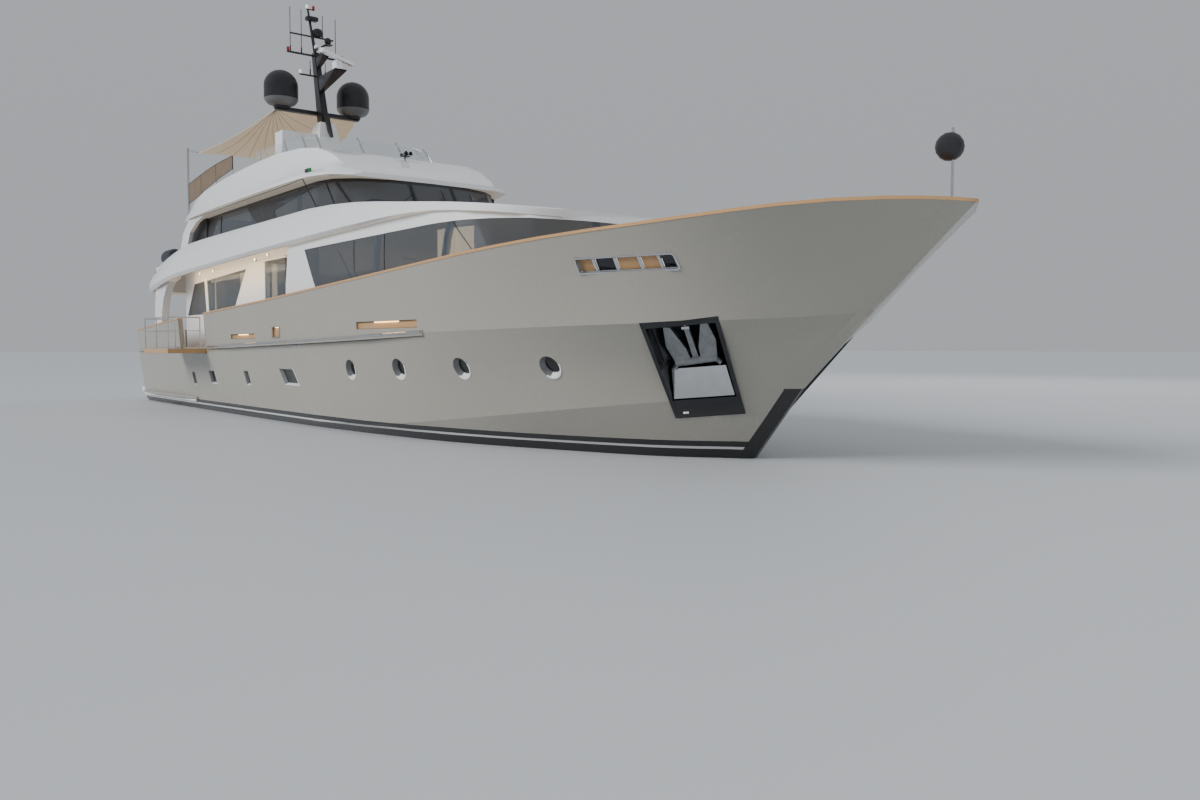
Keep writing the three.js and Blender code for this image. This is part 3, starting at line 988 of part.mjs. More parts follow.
// Running gear below the water
for (const [name, side] of Object.entries(SIDES)) {
  const hub = shaftAt(side, PROPELLER[0]);
  const lean = new THREE.Quaternion().setFromUnitVectors(new THREE.Vector3(1, 0, 0),
    new THREE.Vector3(1, 0, SHAFT_RISE).normalize());
  const hubFront = shaftAt(side, PROPELLER[0] + 0.14);
  let propeller = join(rod(shaftAt(side, PROPELLER[0] - 0.32), hubFront, 0.03, 10, 0.11),
    rod(shaftAt(side, PROPELLER[0] - 0.12), hubFront, 0.11, 10),
    rod(shaftAt(side, PROPELLER[0]), shaftAt(side, SHAFT_END_X), SHAFT_RADIUS, 10));
  for (let blade = 0; blade < 5; blade += 1) {
    const angle = (blade * 2 * Math.PI) / 5;
    const turnBlade = new THREE.Quaternion().setFromAxisAngle(new THREE.Vector3(1, 0, 0), angle);
    const outline = [[0.06, -0.07, 0.05], [0.06, 0.07, -0.05], [0.32, 0.19, -0.08],
      [PROPELLER_RADIUS, 0, 0], [0.32, -0.18, 0.08]];
    const corners = outline.flatMap(([radial, wide, pitch]) => [-0.012, 0.012].map((skin) => {
      const point = new THREE.Vector3(-side * pitch + skin, wide, radial).applyQuaternion(turnBlade)
        .applyQuaternion(lean);
      return [hub[0] + point.x, hub[1] + point.y, hub[2] + point.z];
    }));
    propeller = join(propeller, hullOf(corners));
  }
  addPiece(`propeller_${name}`, propeller, "bronze");
  const barrelX = PROPELLER[0] + 0.42;
  const barrel = rod(shaftAt(side, barrelX - 0.13), shaftAt(side, barrelX + 0.13), 0.1, 12);
  const [, barrelY, barrelZ] = shaftAt(side, barrelX);
  const legs = [-0.5, 0.5].map((y) => hullOf([...slab(barrelX, 0.1, 0.018, barrelZ + 0.02)
    .map(([x, legY, z]) => [x, barrelY + legY, z]), ...slab(barrelX, 0.12, 0.018, -0.5)
    .map(([x, legY, z]) => [x, barrelY + y + legY, z])]));
  const bracket = join(barrel, ...legs)
    .subtract(bore(shaftAt(side, barrelX - 0.3), shaftAt(side, barrelX + 0.3), SHAFT_RADIUS))
    .subtract(hullShape(FIT));
  addPiece(`shaft_bracket_${name}`, mainBody(bracket), "bronze");
  const y = side * GEAR_Y;
  const blade = hullOf([[RUDDER.x + 0.32, y, RUDDER.low + 0.1], [RUDDER.x + 0.3, y, RUDDER.boss - 0.02],
    ...slab(RUDDER.x + 0.05, 0.04, 0.055, RUDDER.low + 0.1).map(([px, py, z]) => [px, y + py, z]),
    ...slab(RUDDER.x + 0.05, 0.04, 0.055, RUDDER.boss - 0.02).map(([px, py, z]) => [px, y + py, z]),
    [RUDDER.x - 0.5, y - 0.01, RUDDER.low], [RUDDER.x - 0.5, y + 0.01, RUDDER.low],
    [RUDDER.x - 0.55, y - 0.01, RUDDER.boss - 0.02], [RUDDER.x - 0.55, y + 0.01, RUDDER.boss - 0.02]]);
  const stock = rod([RUDDER.x, y, -1.2], [RUDDER.x, y, -0.765], RUDDER.stock, 14);
  addPiece(`rudder_${name}`, join(blade, stock), "bronze");
  const foil = [[0.45, 0, 0.03], [0.3, 0.05, 0.03], [-0.1, 0.06, 0.03], [-0.75, 0.008, 0.03]];
  const finRoot = { out: 0.03, share: 1 };
  const finTip = { out: 0.95, share: 0.62 };
  const skins = foil.flatMap(([along, thick]) => [[along, -thick], [along, thick]]);
  const fin = hullOf([finRoot, finTip].flatMap(({ out, share }) => skins.map(([along, skin]) => {
    const [px, py, pz] = finPoint(side, along * share, out);
    return [px, py + side * skin * 0.64, pz + skin * 0.77];
  })));
  const finStock = rod(finPoint(side, 0, -0.15), finPoint(side, 0, 0.1), FIN.stock, 14);
  addPiece(`stabiliser_fin_${name}`, join(fin, finStock), "hullPaint");
}

export default yacht;
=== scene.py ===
# %% [markdown]
# A three-deck motor yacht, dressed for its portrait. The model comes in from CAD as plain pieces in
# their true places, in metres, with the bow along +X, port along +Y and the waterline at Z 0.
# This lesson gives them paint, teak, glass and cloth, and adds the fittings that CAD left out.

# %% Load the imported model
import bpy
import bmesh
import json
import math
from mathutils import Matrix, Vector

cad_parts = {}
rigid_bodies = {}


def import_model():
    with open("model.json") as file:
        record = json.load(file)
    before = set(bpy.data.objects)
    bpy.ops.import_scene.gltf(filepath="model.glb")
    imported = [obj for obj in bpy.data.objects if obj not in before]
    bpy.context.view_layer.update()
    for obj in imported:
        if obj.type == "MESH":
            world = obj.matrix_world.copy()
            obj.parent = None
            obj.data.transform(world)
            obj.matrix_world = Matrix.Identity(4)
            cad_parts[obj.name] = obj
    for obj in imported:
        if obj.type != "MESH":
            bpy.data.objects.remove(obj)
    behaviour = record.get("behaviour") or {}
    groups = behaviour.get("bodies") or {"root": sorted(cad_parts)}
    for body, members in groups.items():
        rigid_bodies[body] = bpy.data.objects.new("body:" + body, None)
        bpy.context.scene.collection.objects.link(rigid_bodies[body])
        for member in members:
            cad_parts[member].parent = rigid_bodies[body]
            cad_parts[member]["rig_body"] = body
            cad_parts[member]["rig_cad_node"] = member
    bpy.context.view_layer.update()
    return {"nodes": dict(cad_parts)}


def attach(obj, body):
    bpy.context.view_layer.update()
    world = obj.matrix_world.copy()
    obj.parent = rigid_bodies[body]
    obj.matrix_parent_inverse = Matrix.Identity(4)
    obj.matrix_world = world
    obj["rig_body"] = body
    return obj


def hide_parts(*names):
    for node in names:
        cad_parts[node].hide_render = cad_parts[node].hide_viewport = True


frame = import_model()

nodes = frame["nodes"]
SIDES = {"starboard": -1, "port": 1}

# %% [markdown]
# The camera stands low off the starboard bow. Its lens is wide, so the flare of the bow looms and the
# stern runs away to the left.

# %% Camera
EYE = (24.79, -13.09, 1.97)
TURN = (87.02, 0, 52.1)
bpy.ops.object.camera_add(location=EYE, rotation=[math.radians(angle) for angle in TURN])
camera = bpy.context.object
camera.name = "camera"
camera.data.lens = 30
camera.data.sensor_width = 36
camera.data.clip_end = 1500
bpy.context.scene.camera = camera
print("camera at", EYE)

# %% [markdown]
# Every finish starts from the same shader, so one helper makes it. Small helpers then add what no real
# surface lacks: a slight drift of colour, a gloss that is not even, and a fine relief. All patterns
# read object coordinates, which here are metres on the yacht, so a plank is as wide as it should be.
# Inputs of a node are named as Blender names them, with an underscore in place of a space.

# %% Helpers for finishes
def feed(owner, socket, value):
    if hasattr(value, "is_output"):
        owner.node_tree.links.new(value, socket)
    elif socket.type == "RGBA":
        socket.default_value = (*value, 1)
    else:
        socket.default_value = value


def node(owner, kind, settings=(), **inputs):
    made = owner.node_tree.nodes.new("ShaderNode" + kind)
    for key, value in dict(settings).items():
        setattr(made, key, value)
    for key, value in inputs.items():
        feed(owner, made.inputs[key.replace("_", " ")], value)
    return made


def shade(material, **inputs):
    shader = material.node_tree.nodes["Principled BSDF"]
    for key, value in inputs.items():
        feed(material, shader.inputs[key.replace("_", " ")], value)


def finish(name, colour, roughness, metallic=0.0):
    material = bpy.data.materials.new(name)
    material.use_nodes = True
    shade(material, Base_Color=colour, Roughness=roughness, Metallic=metallic)
    return material


def maths(material, operation, *values):
    made = node(material, "Math", {"operation": operation})
    for socket, value in zip(made.inputs, values):
        feed(material, socket, value)
    return made.outputs[0]


def mix(material, factor, first, second):
    blend = node(material, "Mix", {"data_type": "RGBA"})
    for index, value in ((0, factor), (6, first), (7, second)):
        feed(material, blend.inputs[index], value)
    return blend.outputs[2]


def place_on_yacht(material, scale=(1, 1, 1)):
    coordinates = node(material, "TexCoord").outputs["Object"]
    return node(material, "Mapping", Vector=coordinates, Scale=scale).outputs["Vector"]


def axes(material):
    return node(material, "SeparateXYZ", Vector=place_on_yacht(material)).outputs


def noise(material, scale, detail=3.0, stretch=(1, 1, 1)):
    place = place_on_yacht(material, stretch)
    return node(material, "TexNoise", Vector=place, Scale=scale, Detail=detail).outputs["Fac"]


def gloss(material, low, high, scale):
    spread_out = node(material, "MapRange", Value=noise(material, scale, 4.0), To_Min=low, To_Max=high)
    shade(material, Roughness=spread_out.outputs["Result"])


def relief(material, height, strength, distance):
    bump = node(material, "Bump", Height=height, Strength=strength, Distance=distance)
    shade(material, Normal=bump.outputs["Normal"])


def surface(name, colour, roughness, tones, patches, shine, grain, bump, metallic=0.0, **extra):
    material = finish(name, colour, roughness, metallic)
    shade(material, Base_Color=mix(material, noise(material, patches), *tones))
    gloss(material, *shine)
    relief(material, noise(material, *grain), *bump)
    shade(material, **extra)
    return material


print("helpers ready")

# %% [markdown]
# A pale studio floor lies at the height of the waterline. Soft light comes from a pale sky, a very
# broad sun over the starboard side, and two wide lamps that fill the bow and port. A warm strip glows
# under the overhang on each side.

# %% Floor and light
AIM = Vector((0, 0, 2))
bpy.ops.mesh.primitive_plane_add(size=1100, location=(0, 0, 0))
floor = bpy.context.object
floor.name = "floor"
floor.data.materials.append(finish("studio_floor", (0.52, 0.54, 0.56), 0.55))

sky = bpy.data.worlds.new("studio_sky")
bpy.context.scene.world = sky
sky.use_nodes = True
sky_split = node(sky, "SeparateXYZ", Vector=node(sky, "TexCoord").outputs["Generated"])
sky_ramp = node(sky, "ValToRGB", Fac=sky_split.outputs["Z"])
horizon, zenith = sky_ramp.color_ramp.elements
horizon.position, horizon.color = 0.0, (0.86, 0.9, 0.95, 1)
zenith.position, zenith.color = 0.65, (0.9, 0.94, 1.0, 1)
sky_inputs = sky.node_tree.nodes["Background"].inputs
feed(sky, sky_inputs["Strength"], 0.5)
feed(sky, sky_inputs["Color"], sky_ramp.outputs["Color"])


def light(name, kind, place, turn=None, **settings):
    turn = turn or (AIM - Vector(place)).to_track_quat("-Z", "Y").to_euler()
    bpy.ops.object.light_add(type=kind, location=place, rotation=turn)
    lamp = bpy.context.object
    lamp.name = name
    lamp.visible_glossy = False
    for key, value in settings.items():
        setattr(lamp.data, key, value)
    return lamp


light("key", "SUN", (-12, -46, 30), energy=3.0, angle=math.radians(30))
light("bow_fill", "AREA", (46, -10, 16), size=20, energy=2500)
light("port_fill", "AREA", (-4, 44, 30), size=24, energy=5000)
for side in SIDES.values():
    glow = light("overhang_glow", "AREA", (-6.5, side * 3.35, 4.3), (side * -1.15, 0, 0), shape="RECTANGLE",
                 size=9, size_y=0.15, energy=60, color=(1.0, 0.72, 0.42))
    glow.visible_camera = False
print("floor, sky, a broad sun, two lamps and a warm glow under the overhangs")

# %% [markdown]
# The topsides wear a satin greige paint. Low down it gives way to a black boot stripe with one
# thin pale line in it. On the stem a black band guards the paint from the anchor chain. Bands that
# follow a height are cheapest and sharpest as a test on the Z coordinate.

# %% Hull paint
GREIGE = (0.31, 0.297, 0.258)
PALE_GREIGE = (0.355, 0.338, 0.295)
BOOT_BLACK = (0.012, 0.012, 0.014)
LINE_WHITE = (0.55, 0.55, 0.54)
BOOT_TOP = 0.32
BOOT_LINE = (0.17, 0.215)
STEM_FOOT = 12.43
STEM_SLOPE = 0.867
STEM_BAND = 0.17
STEM_BAND_TOP = 1.28
hull_paint = finish("greige_topside_paint", GREIGE, 0.28)
here = axes(hull_paint)
x, z = here["X"], here["Z"]
over_line = maths(hull_paint, "GREATER_THAN", z, BOOT_LINE[0])
under_line = maths(hull_paint, "LESS_THAN", z, BOOT_LINE[1])
in_line = maths(hull_paint, "MULTIPLY", over_line, under_line)
stem_edge = maths(hull_paint, "MULTIPLY_ADD", z, STEM_SLOPE, STEM_FOOT - STEM_BAND)
on_stem = maths(hull_paint, "GREATER_THAN", x, stem_edge)
low_stem = maths(hull_paint, "LESS_THAN", z, STEM_BAND_TOP)
stem_band = maths(hull_paint, "MULTIPLY", on_stem, low_stem)
topside = mix(hull_paint, noise(hull_paint, 0.25), GREIGE, PALE_GREIGE)
striped = mix(hull_paint, in_line, BOOT_BLACK, LINE_WHITE)
painted = mix(hull_paint, maths(hull_paint, "LESS_THAN", z, BOOT_TOP), topside, striped)
shade(hull_paint, Base_Color=mix(hull_paint, stem_band, painted, BOOT_BLACK), Coat_Weight=0.2)
gloss(hull_paint, 0.24, 0.3, 0.7)
relief(hull_paint, noise(hull_paint, 5, 1.0), 0.01, 0.002)
print("greige topsides, black boot stripe to", BOOT_TOP, "m")

# %% [markdown]
# The upperworks are white moulded gelcoat, polished, with a hint of orange peel. A second, warmer white
# lines the overhangs. It is duller, and glows a little: painted light that stands in for its downlights.

# %% White mouldings
white = surface("white_gelcoat", (0.82, 0.83, 0.84), 0.2, ((0.80, 0.81, 0.82), (0.86, 0.86, 0.86)),
                patches=0.8, shine=(0.12, 0.24, 2.0), grain=(45, 2.0), bump=(0.025, 0.002), Coat_Weight=0.5)
# Painted light: the lining's warm emission stands in for the downlights that shine on it.
lining = surface("cream_lining", (0.72, 0.69, 0.62), 0.5, ((0.70, 0.67, 0.60), (0.76, 0.73, 0.67)),
                 patches=1.5, shine=(0.4, 0.6, 6.0), grain=(90, 2.0), bump=(0.05, 0.002),
                 Emission_Color=(1.0, 0.8, 0.58), Emission_Strength=0.16)
print("white gelcoat and cream lining")

# %% [markdown]
# Teak decks are narrow planks along the yacht with black caulking between them. A sawtooth of the Y
# coordinate gives the seams, and noise stretched along X gives the grain. Rails and furniture are
# oiled teak without seams, warmer in colour.

# %% Teak
PLANK = 0.065
CAULKING = 0.09


def wood_grain(material, pale, dark):
    grain = noise(material, 16, 6.0, (0.35, 7, 7))
    patches = noise(material, 1.3, 2.0)
    tone = mix(material, grain, dark, pale)
    return mix(material, patches, tone, tuple(value * 0.85 for value in pale)), grain


deck_teak = finish("teak_deck", (0.42, 0.26, 0.14), 0.6)
across = maths(deck_teak, "FRACT", maths(deck_teak, "DIVIDE", axes(deck_teak)["Y"], PLANK))
seam = maths(deck_teak, "LESS_THAN", across, CAULKING)
colour, grain = wood_grain(deck_teak, (0.50, 0.33, 0.19), (0.36, 0.22, 0.12))
shade(deck_teak, Base_Color=mix(deck_teak, seam, colour, (0.02, 0.018, 0.016)))
gloss(deck_teak, 0.5, 0.75, 9.0)
relief(deck_teak, maths(deck_teak, "SUBTRACT", grain, seam), 0.3, 0.003)

rail_teak = finish("oiled_teak", (0.50, 0.28, 0.12), 0.4)
colour, grain = wood_grain(rail_teak, (0.60, 0.36, 0.17), (0.42, 0.22, 0.09))
shade(rail_teak, Base_Color=colour, Coat_Weight=0.25)
gloss(rail_teak, 0.3, 0.5, 7.0)
relief(rail_teak, grain, 0.15, 0.002)
print("planks", PLANK, "m wide")

# %% [markdown]
# The windows are dark tinted safety glass. Light is tinted where it goes into a pane and again where it
# comes out, so the colour is the root of the real tint. A smear of salt varies the gloss. The
# windscreen on the sundeck is clearer, and the edges of panes are blacked out.

# %% Glass
glass = surface("tinted_glass", (0.22, 0.26, 0.31), 0.04, ((0.20, 0.24, 0.29), (0.26, 0.30, 0.35)),
                patches=0.5, shine=(0.02, 0.07, 3.0), grain=(1.2, 1.0), bump=(0.03, 0.01),
                Transmission_Weight=0.85, IOR=1.25, Specular_IOR_Level=0.3)
clear_glass = surface("clear_screen_glass", (0.88, 0.92, 0.93), 0.03,
                      ((0.86, 0.91, 0.92), (0.92, 0.95, 0.96)), patches=0.7, shine=(0.01, 0.06, 4.0),
                      grain=(1.5, 1.0), bump=(0.02, 0.01), Transmission_Weight=0.95, IOR=1.2)
black_glass = surface("black_edge_glass", (0.012, 0.013, 0.016), 0.08,
                      ((0.010, 0.011, 0.014), (0.02, 0.021, 0.024)), patches=1.0, shine=(0.04, 0.12, 3.0),
                      grain=(1.0, 1.0), bump=(0.02, 0.01))
print("tinted, clear and blacked-out glass")

# %% [markdown]
# Metals: satin black paint for the mast and domes, a paler grey for the skirts of the domes, polished
# stainless steel for rails and the anchor gear, and bronze for the propellers. Brushing is a noise
# that is drawn out along one axis.

# %% Metals and paint on metal
black = surface("satin_black_paint", (0.014, 0.014, 0.016), 0.35,
                ((0.012, 0.012, 0.014), (0.024, 0.024, 0.027)), patches=3.0, shine=(0.28, 0.45, 5.0),
                grain=(120, 2.0), bump=(0.05, 0.001))
# The same grey is also used as painted shade deep in the porthole and window recesses.
skirt_and_shade_grey = surface("grey_dome_skirt_and_recess_shade", (0.14, 0.145, 0.15), 0.4, ((0.12, 0.125, 0.13), (0.18, 0.185, 0.19)),
                     patches=3.0, shine=(0.3, 0.5, 6.0), grain=(120, 2.0), bump=(0.05, 0.001))
steel = surface("polished_stainless", (0.62, 0.63, 0.65), 0.15, ((0.56, 0.57, 0.59), (0.70, 0.71, 0.72)),
                patches=6.0, shine=(0.08, 0.24, 12.0), grain=(80, 3.0, (0.1, 1, 1)), bump=(0.04, 0.001),
                metallic=1.0)
worn_steel = surface("worn_anchor_steel", (0.30, 0.31, 0.33), 0.4, ((0.20, 0.21, 0.22), (0.42, 0.43, 0.45)),
                     patches=9.0, shine=(0.3, 0.6, 14.0), grain=(50, 5.0), bump=(0.25, 0.003), metallic=1.0)
black_steel = surface("black_polished_steel", (0.05, 0.052, 0.057), 0.14,
                      ((0.04, 0.042, 0.047), (0.075, 0.077, 0.082)), patches=4.0, shine=(0.1, 0.22, 8.0),
                      grain=(70, 3.0), bump=(0.04, 0.001), metallic=0.85)
bronze = surface("propeller_bronze", (0.50, 0.34, 0.14), 0.3, ((0.42, 0.28, 0.12), (0.58, 0.42, 0.20)),
                 patches=5.0, shine=(0.2, 0.5, 9.0), grain=(60, 3.0), bump=(0.1, 0.002), metallic=1.0)
antifouling = surface("black_antifouling", (0.02, 0.02, 0.022), 0.7,
                      ((0.015, 0.015, 0.017), (0.04, 0.042, 0.045)), patches=2.0, shine=(0.6, 0.85, 6.0),
                      grain=(70, 4.0), bump=(0.2, 0.002))
print("black, grey, steel, worn steel, bronze and antifouling")

# %% [markdown]
# Cloth shows its weave as two crossed waves. Cushions are a pale outdoor fabric, the awning a beige
# acrylic, the wind-breaks a brown open mesh and the liferaft cover a dark grey canvas. The curtains
# and the awning glow a little: painted light, an emission that stands in for the warm lamps that light them.

# %% Cloth
def weave(material, threads):
    def wave(way):
        place = place_on_yacht(material)
        return node(material, "TexWave", {"bands_direction": way}, Vector=place, Scale=threads).outputs["Fac"]

    return maths(material, "MAXIMUM", wave("X"), wave("Y"))


def cloth(name, first, second, threads, strength, **extra):
    material = finish(name, first, 0.9)
    shade(material, Base_Color=mix(material, noise(material, 3.0), first, second), Sheen_Weight=0.05, **extra)
    gloss(material, 0.8, 0.98, 20.0)
    relief(material, weave(material, threads), strength, 0.002)
    return material


cushion_cloth = cloth("cushion_cloth", (0.62, 0.59, 0.53), (0.70, 0.67, 0.61), 60, 0.2)
# Painted light: the awning's emission brightens its shaded underside as if lamps lit it.
awning_cloth = cloth("awning_cloth", (0.60, 0.52, 0.42), (0.68, 0.60, 0.49), 80, 0.1,
                     Emission_Color=(1.0, 0.78, 0.5), Emission_Strength=0.22)
mesh_cloth = cloth("brown_mesh_cloth", (0.16, 0.115, 0.08), (0.22, 0.165, 0.115), 40, 0.4)
cover_cloth = cloth("grey_cover_cloth", (0.035, 0.042, 0.055), (0.06, 0.07, 0.085), 60, 0.25)
# Painted light: the curtains glow as if the rooms behind them were lit.
curtain_cloth = cloth("curtain_cloth", (0.66, 0.55, 0.40), (0.76, 0.66, 0.50), 30, 0.2,
                      Emission_Color=(1.0, 0.72, 0.42), Emission_Strength=1.6)
print("five cloths")

# %% [markdown]
# Small lamps are part of the yacht: spotlights over the side decks glow a warm yellow, and the
# navigation lights have red, green and clear lenses.

# %% Glowing lamp glass
warm_lamp = surface("warm_lamp_glass", (0.9, 0.7, 0.4), 0.3, ((0.9, 0.68, 0.38), (0.95, 0.76, 0.48)),
                    patches=30.0, shine=(0.2, 0.4, 30.0), grain=(90, 2.0), bump=(0.05, 0.001),
                    Emission_Color=(1.0, 0.62, 0.25), Emission_Strength=6.0)


def lens(name, colour, glow):
    return surface(name, colour, 0.15, (colour, tuple(0.7 * value for value in colour)), patches=25.0,
                   shine=(0.1, 0.25, 30.0), grain=(60, 2.0), bump=(0.05, 0.001),
                   Emission_Color=colour, Emission_Strength=glow)


red_lens = lens("red_lamp_lens", (0.35, 0.012, 0.012), 0.1)
green_lens = lens("green_lamp_lens", (0.012, 0.22, 0.06), 0.1)
white_lens = lens("white_lamp_lens", (0.8, 0.8, 0.76), 0.6)
print("lamp glass in four colours")

# %% [markdown]
# Helpers for pieces. A CAD node is a cloud of loose flat triangles, which suits a pane of glass. A
# moulding wants smooth curves with crisp edges, so the node's shape is copied, its doubled corners are
# merged, flat facets are joined, and the surface is shaded smooth up to a chosen angle. Weighted
# normals keep the large faces flat. The copy then stands for its node.

# %% Helpers for pieces
CRISP_EDGE = 35
FLAT_ENOUGH = 0.4
DOUBLED = 0.0002


def pick(obj):
    if bpy.context.object and bpy.context.object.mode != "OBJECT":
        bpy.ops.object.mode_set(mode="OBJECT")
    bpy.ops.object.select_all(action="DESELECT")
    obj.select_set(True)
    bpy.context.view_layer.objects.active = obj


def edit(obj, select="SELECT"):
    pick(obj)
    bpy.ops.object.mode_set(mode="EDIT")
    bpy.ops.mesh.select_mode(type="VERT")
    bpy.ops.mesh.select_all(action=select)


def turn_outward():
    bpy.ops.mesh.select_all(action="SELECT")
    bpy.ops.mesh.normals_make_consistent(inside=False)
    bpy.ops.object.mode_set(mode="OBJECT")


def named(obj, name):
    obj.name = name
    obj.data.name = name
    return obj


def settle(obj):
    pick(obj)
    bpy.ops.object.transform_apply(location=True, rotation=True, scale=True)
    return obj


def smooth(obj, angle):
    pick(obj)
    bpy.ops.object.shade_smooth_by_angle(angle=math.radians(angle))


def modify(obj, kind, **settings):
    pick(obj)
    bpy.ops.object.modifier_add(type=kind)
    modifier = obj.modifiers[-1]
    for key, value in settings.items():
        setattr(modifier, key, value)
    bpy.ops.object.modifier_apply(modifier=modifier.name)
    return obj


def bevel(obj, width, segments=2):
    return modify(obj, "BEVEL", width=width, segments=segments, limit_method="ANGLE",
                  angle_limit=math.radians(CRISP_EDGE))


def paint(obj, material, body="yacht", replaces=()):
    obj.data.materials.clear()
    obj.data.materials.append(material)
    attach(obj, body)
    if replaces:
        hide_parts(*replaces)
    return obj


def paint_faces(obj, material, test):
    obj.data.materials.append(material)
    chosen = [face for face in obj.data.polygons if test(face.center, face.normal)]
    for face in chosen:
        face.material_index = len(obj.data.materials) - 1
    return len(chosen)


def dressed(name, piece_name, material, angle=32, body="yacht"):
    pick(nodes[name])
    bpy.ops.object.duplicate()
    copy = bpy.context.object
    copy.parent = None
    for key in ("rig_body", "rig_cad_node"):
        if key in copy:
            del copy[key]
    edit(named(copy, piece_name))
    bpy.ops.mesh.remove_doubles(threshold=DOUBLED)
    bpy.ops.mesh.dissolve_limited(angle_limit=math.radians(FLAT_ENOUGH), delimit=set())
    bpy.ops.object.mode_set(mode="OBJECT")
    smooth(copy, angle)
    modify(copy, "WEIGHTED_NORMAL", keep_sharp=True)
    return paint(copy, material, body, (name,))


def join(objects, name):
    pick(objects[0])
    for other in objects[1:]:
        other.select_set(True)
    bpy.ops.object.join()
    return named(bpy.context.object, name)


def group(name, objects, material, angle=35, replaces=()):
    joined = join(objects, name)
    smooth(joined, angle)
    return paint(joined, material, "yacht", replaces)


print("piece helpers ready")

# %% [markdown]
# The hull first. It is one closed moulding with decks, stairs and recesses already in it. Decks and
# stair treads are teak, the inside of the bulwarks is white, and the rest is paint.

# %% Hull
hull = dressed("hull", "hull_shell", hull_paint, 24)
DECKS = (2.0, 3.0, 3.2, 3.72)
LEVEL = 0.98
NEAR_DECK = 0.03
STAIRS_FRONT = -13.8


def is_deck(centre, normal):
    on_stairs = centre.x < STAIRS_FRONT and 0.45 < centre.z < 2.05
    return normal.z > LEVEL and (on_stairs or any(abs(centre.z - level) < NEAR_DECK for level in DECKS))


def is_bulwark_lining(centre, normal):
    looks_in = normal.y * math.copysign(1, centre.y) < -0.1 and centre.z > 1.95
    looks_aft = normal.x < -0.3 and centre.x > 12 and centre.z > 3.0
    return (looks_in or looks_aft) and abs(normal.z) < 0.9 and centre.x > -15.5


def is_hatch_coaming(centre, normal):
    return 11.9 < centre.x < 13.2 and abs(centre.y) < 0.6 and 3.0 < centre.z < 3.25 and abs(normal.z) < 0.5


print("hull of", len(hull.data.polygons), "faces")

# %% [markdown]
# Every small fitting starts as a trail: one corner that is extruded from point to point. Spun about an
# axis it becomes a turned piece, filled and pushed it becomes a panel, and as a curve with a thickness
# it becomes a tube. A ribbon is the same row of corners pushed sideways and thickened.

# %% Helpers for shapes
TOGETHER = 0.0001
BESIDE_YACHT = 8
ABOVE_ROOF = 9


def trail(points, closed=False):
    route = [tuple(point) for point in points]
    if closed:
        route.append(route[0])
    bpy.ops.mesh.primitive_plane_add(size=1)
    path = bpy.context.object
    edit(path)
    bpy.ops.mesh.merge(type="CENTER")
    bpy.ops.transform.translate(value=route[0])
    for before, after in zip(route, route[1:]):
        step = tuple(b - a for a, b in zip(before, after))
        bpy.ops.mesh.extrude_region_move(TRANSFORM_OT_translate={"value": step})
    bpy.ops.mesh.select_all(action="SELECT")
    bpy.ops.mesh.remove_doubles(threshold=TOGETHER)
    return path


def panel(corners, push):
    made = trail(corners)
    bpy.ops.mesh.edge_face_add()
    bpy.ops.mesh.extrude_region_move(TRANSFORM_OT_translate={"value": tuple(push)})
    turn_outward()
    return made


def outline_block(outline, low, high):
    return panel([(*corner, low) for corner in outline], (0, 0, high - low))


def spun(profile, steps=32):
    turned = trail([(radius, 0, z) for radius, z in profile])
    bpy.ops.mesh.spin(steps=steps, angle=math.tau, center=(0, 0, 0), axis=(0, 0, 1))
    bpy.ops.mesh.select_all(action="SELECT")
    bpy.ops.mesh.remove_doubles(threshold=TOGETHER)
    turn_outward()
    return turned


def tube(points, radius, closed=False):
    trail(points, closed)
    bpy.ops.object.mode_set(mode="OBJECT")
    bpy.ops.object.convert(target="CURVE")
    path = bpy.context.object
    path.data.bevel_depth = radius
    path.data.bevel_resolution = 3
    path.data.use_fill_caps = True
    bpy.ops.object.convert(target="MESH")
    return settle(bpy.context.object)


def thicken(obj, thickness):
    return modify(obj, "SOLIDIFY", thickness=thickness, offset=0)


def ribbon(points, push, thickness, closed=False):
    strip = trail(points, closed)
    bpy.ops.mesh.extrude_region_move(TRANSFORM_OT_translate={"value": tuple(push)})
    turn_outward()
    return thicken(strip, thickness)


def block(low, high, round_off=0.01, segments=3):
    middle = [(a + b) / 2 for a, b in zip(low, high)]
    bpy.ops.mesh.primitive_cube_add(size=1, location=middle, scale=[b - a for a, b in zip(low, high)])
    return bevel(settle(bpy.context.object), round_off, segments)


def put(obj, matrix):
    obj.matrix_world = matrix @ obj.matrix_world
    bpy.context.view_layer.update()
    return settle(obj)


def lathe(profile, place, aim=(0, 0, 1), steps=32):
    turn = Vector(aim).normalized().to_track_quat("Z", "Y").to_matrix().to_4x4()
    return put(spun(profile, steps), Matrix.Translation(place) @ turn)


def spread(first, last, count):
    return [first + (last - first) * step / (count - 1) for step in range(count)]


def cast(obj, start, aim):
    return obj.ray_cast(Vector(start), Vector(aim))[1:3]


def touch(obj, x, side, z):
    return cast(obj, (x, side * BESIDE_YACHT, z), (0, -side, 0))


def drop(obj, x, y):
    return cast(obj, (x, y, ABOVE_ROOF), (0, 0, -1))


print("shape helpers ready")

# %% [markdown]
# Portholes and windows are recessed. A cutter for each is made where a ray from outside meets the
# topside, turned to face along the surface there, and all are cut away in one boolean. The lining that
# fills each hole is made in the same frame, so it must fit.

# %% Cutting the portholes and cabin windows
PORTHOLES = [(3.38, 1.49), (5.5, 1.535), (7.69, 1.58), (10.03, 1.63)]
PORTHOLE_RADIUS = 0.225
PORTHOLE_DEPTH = 0.16
SIDE_WINDOWS = [(-8.7, 1.0, 0.32, 0.42, 0.05), (-6.7, 1.08, 0.62, 0.42, 0.08),
                (-3.56, 1.13, 0.38, 0.42, 0.07), (-0.37, 1.23, 1.0, 0.44, 0.16)]
WINDOW_DEPTH = 0.15
OUTSIDE = 0.2


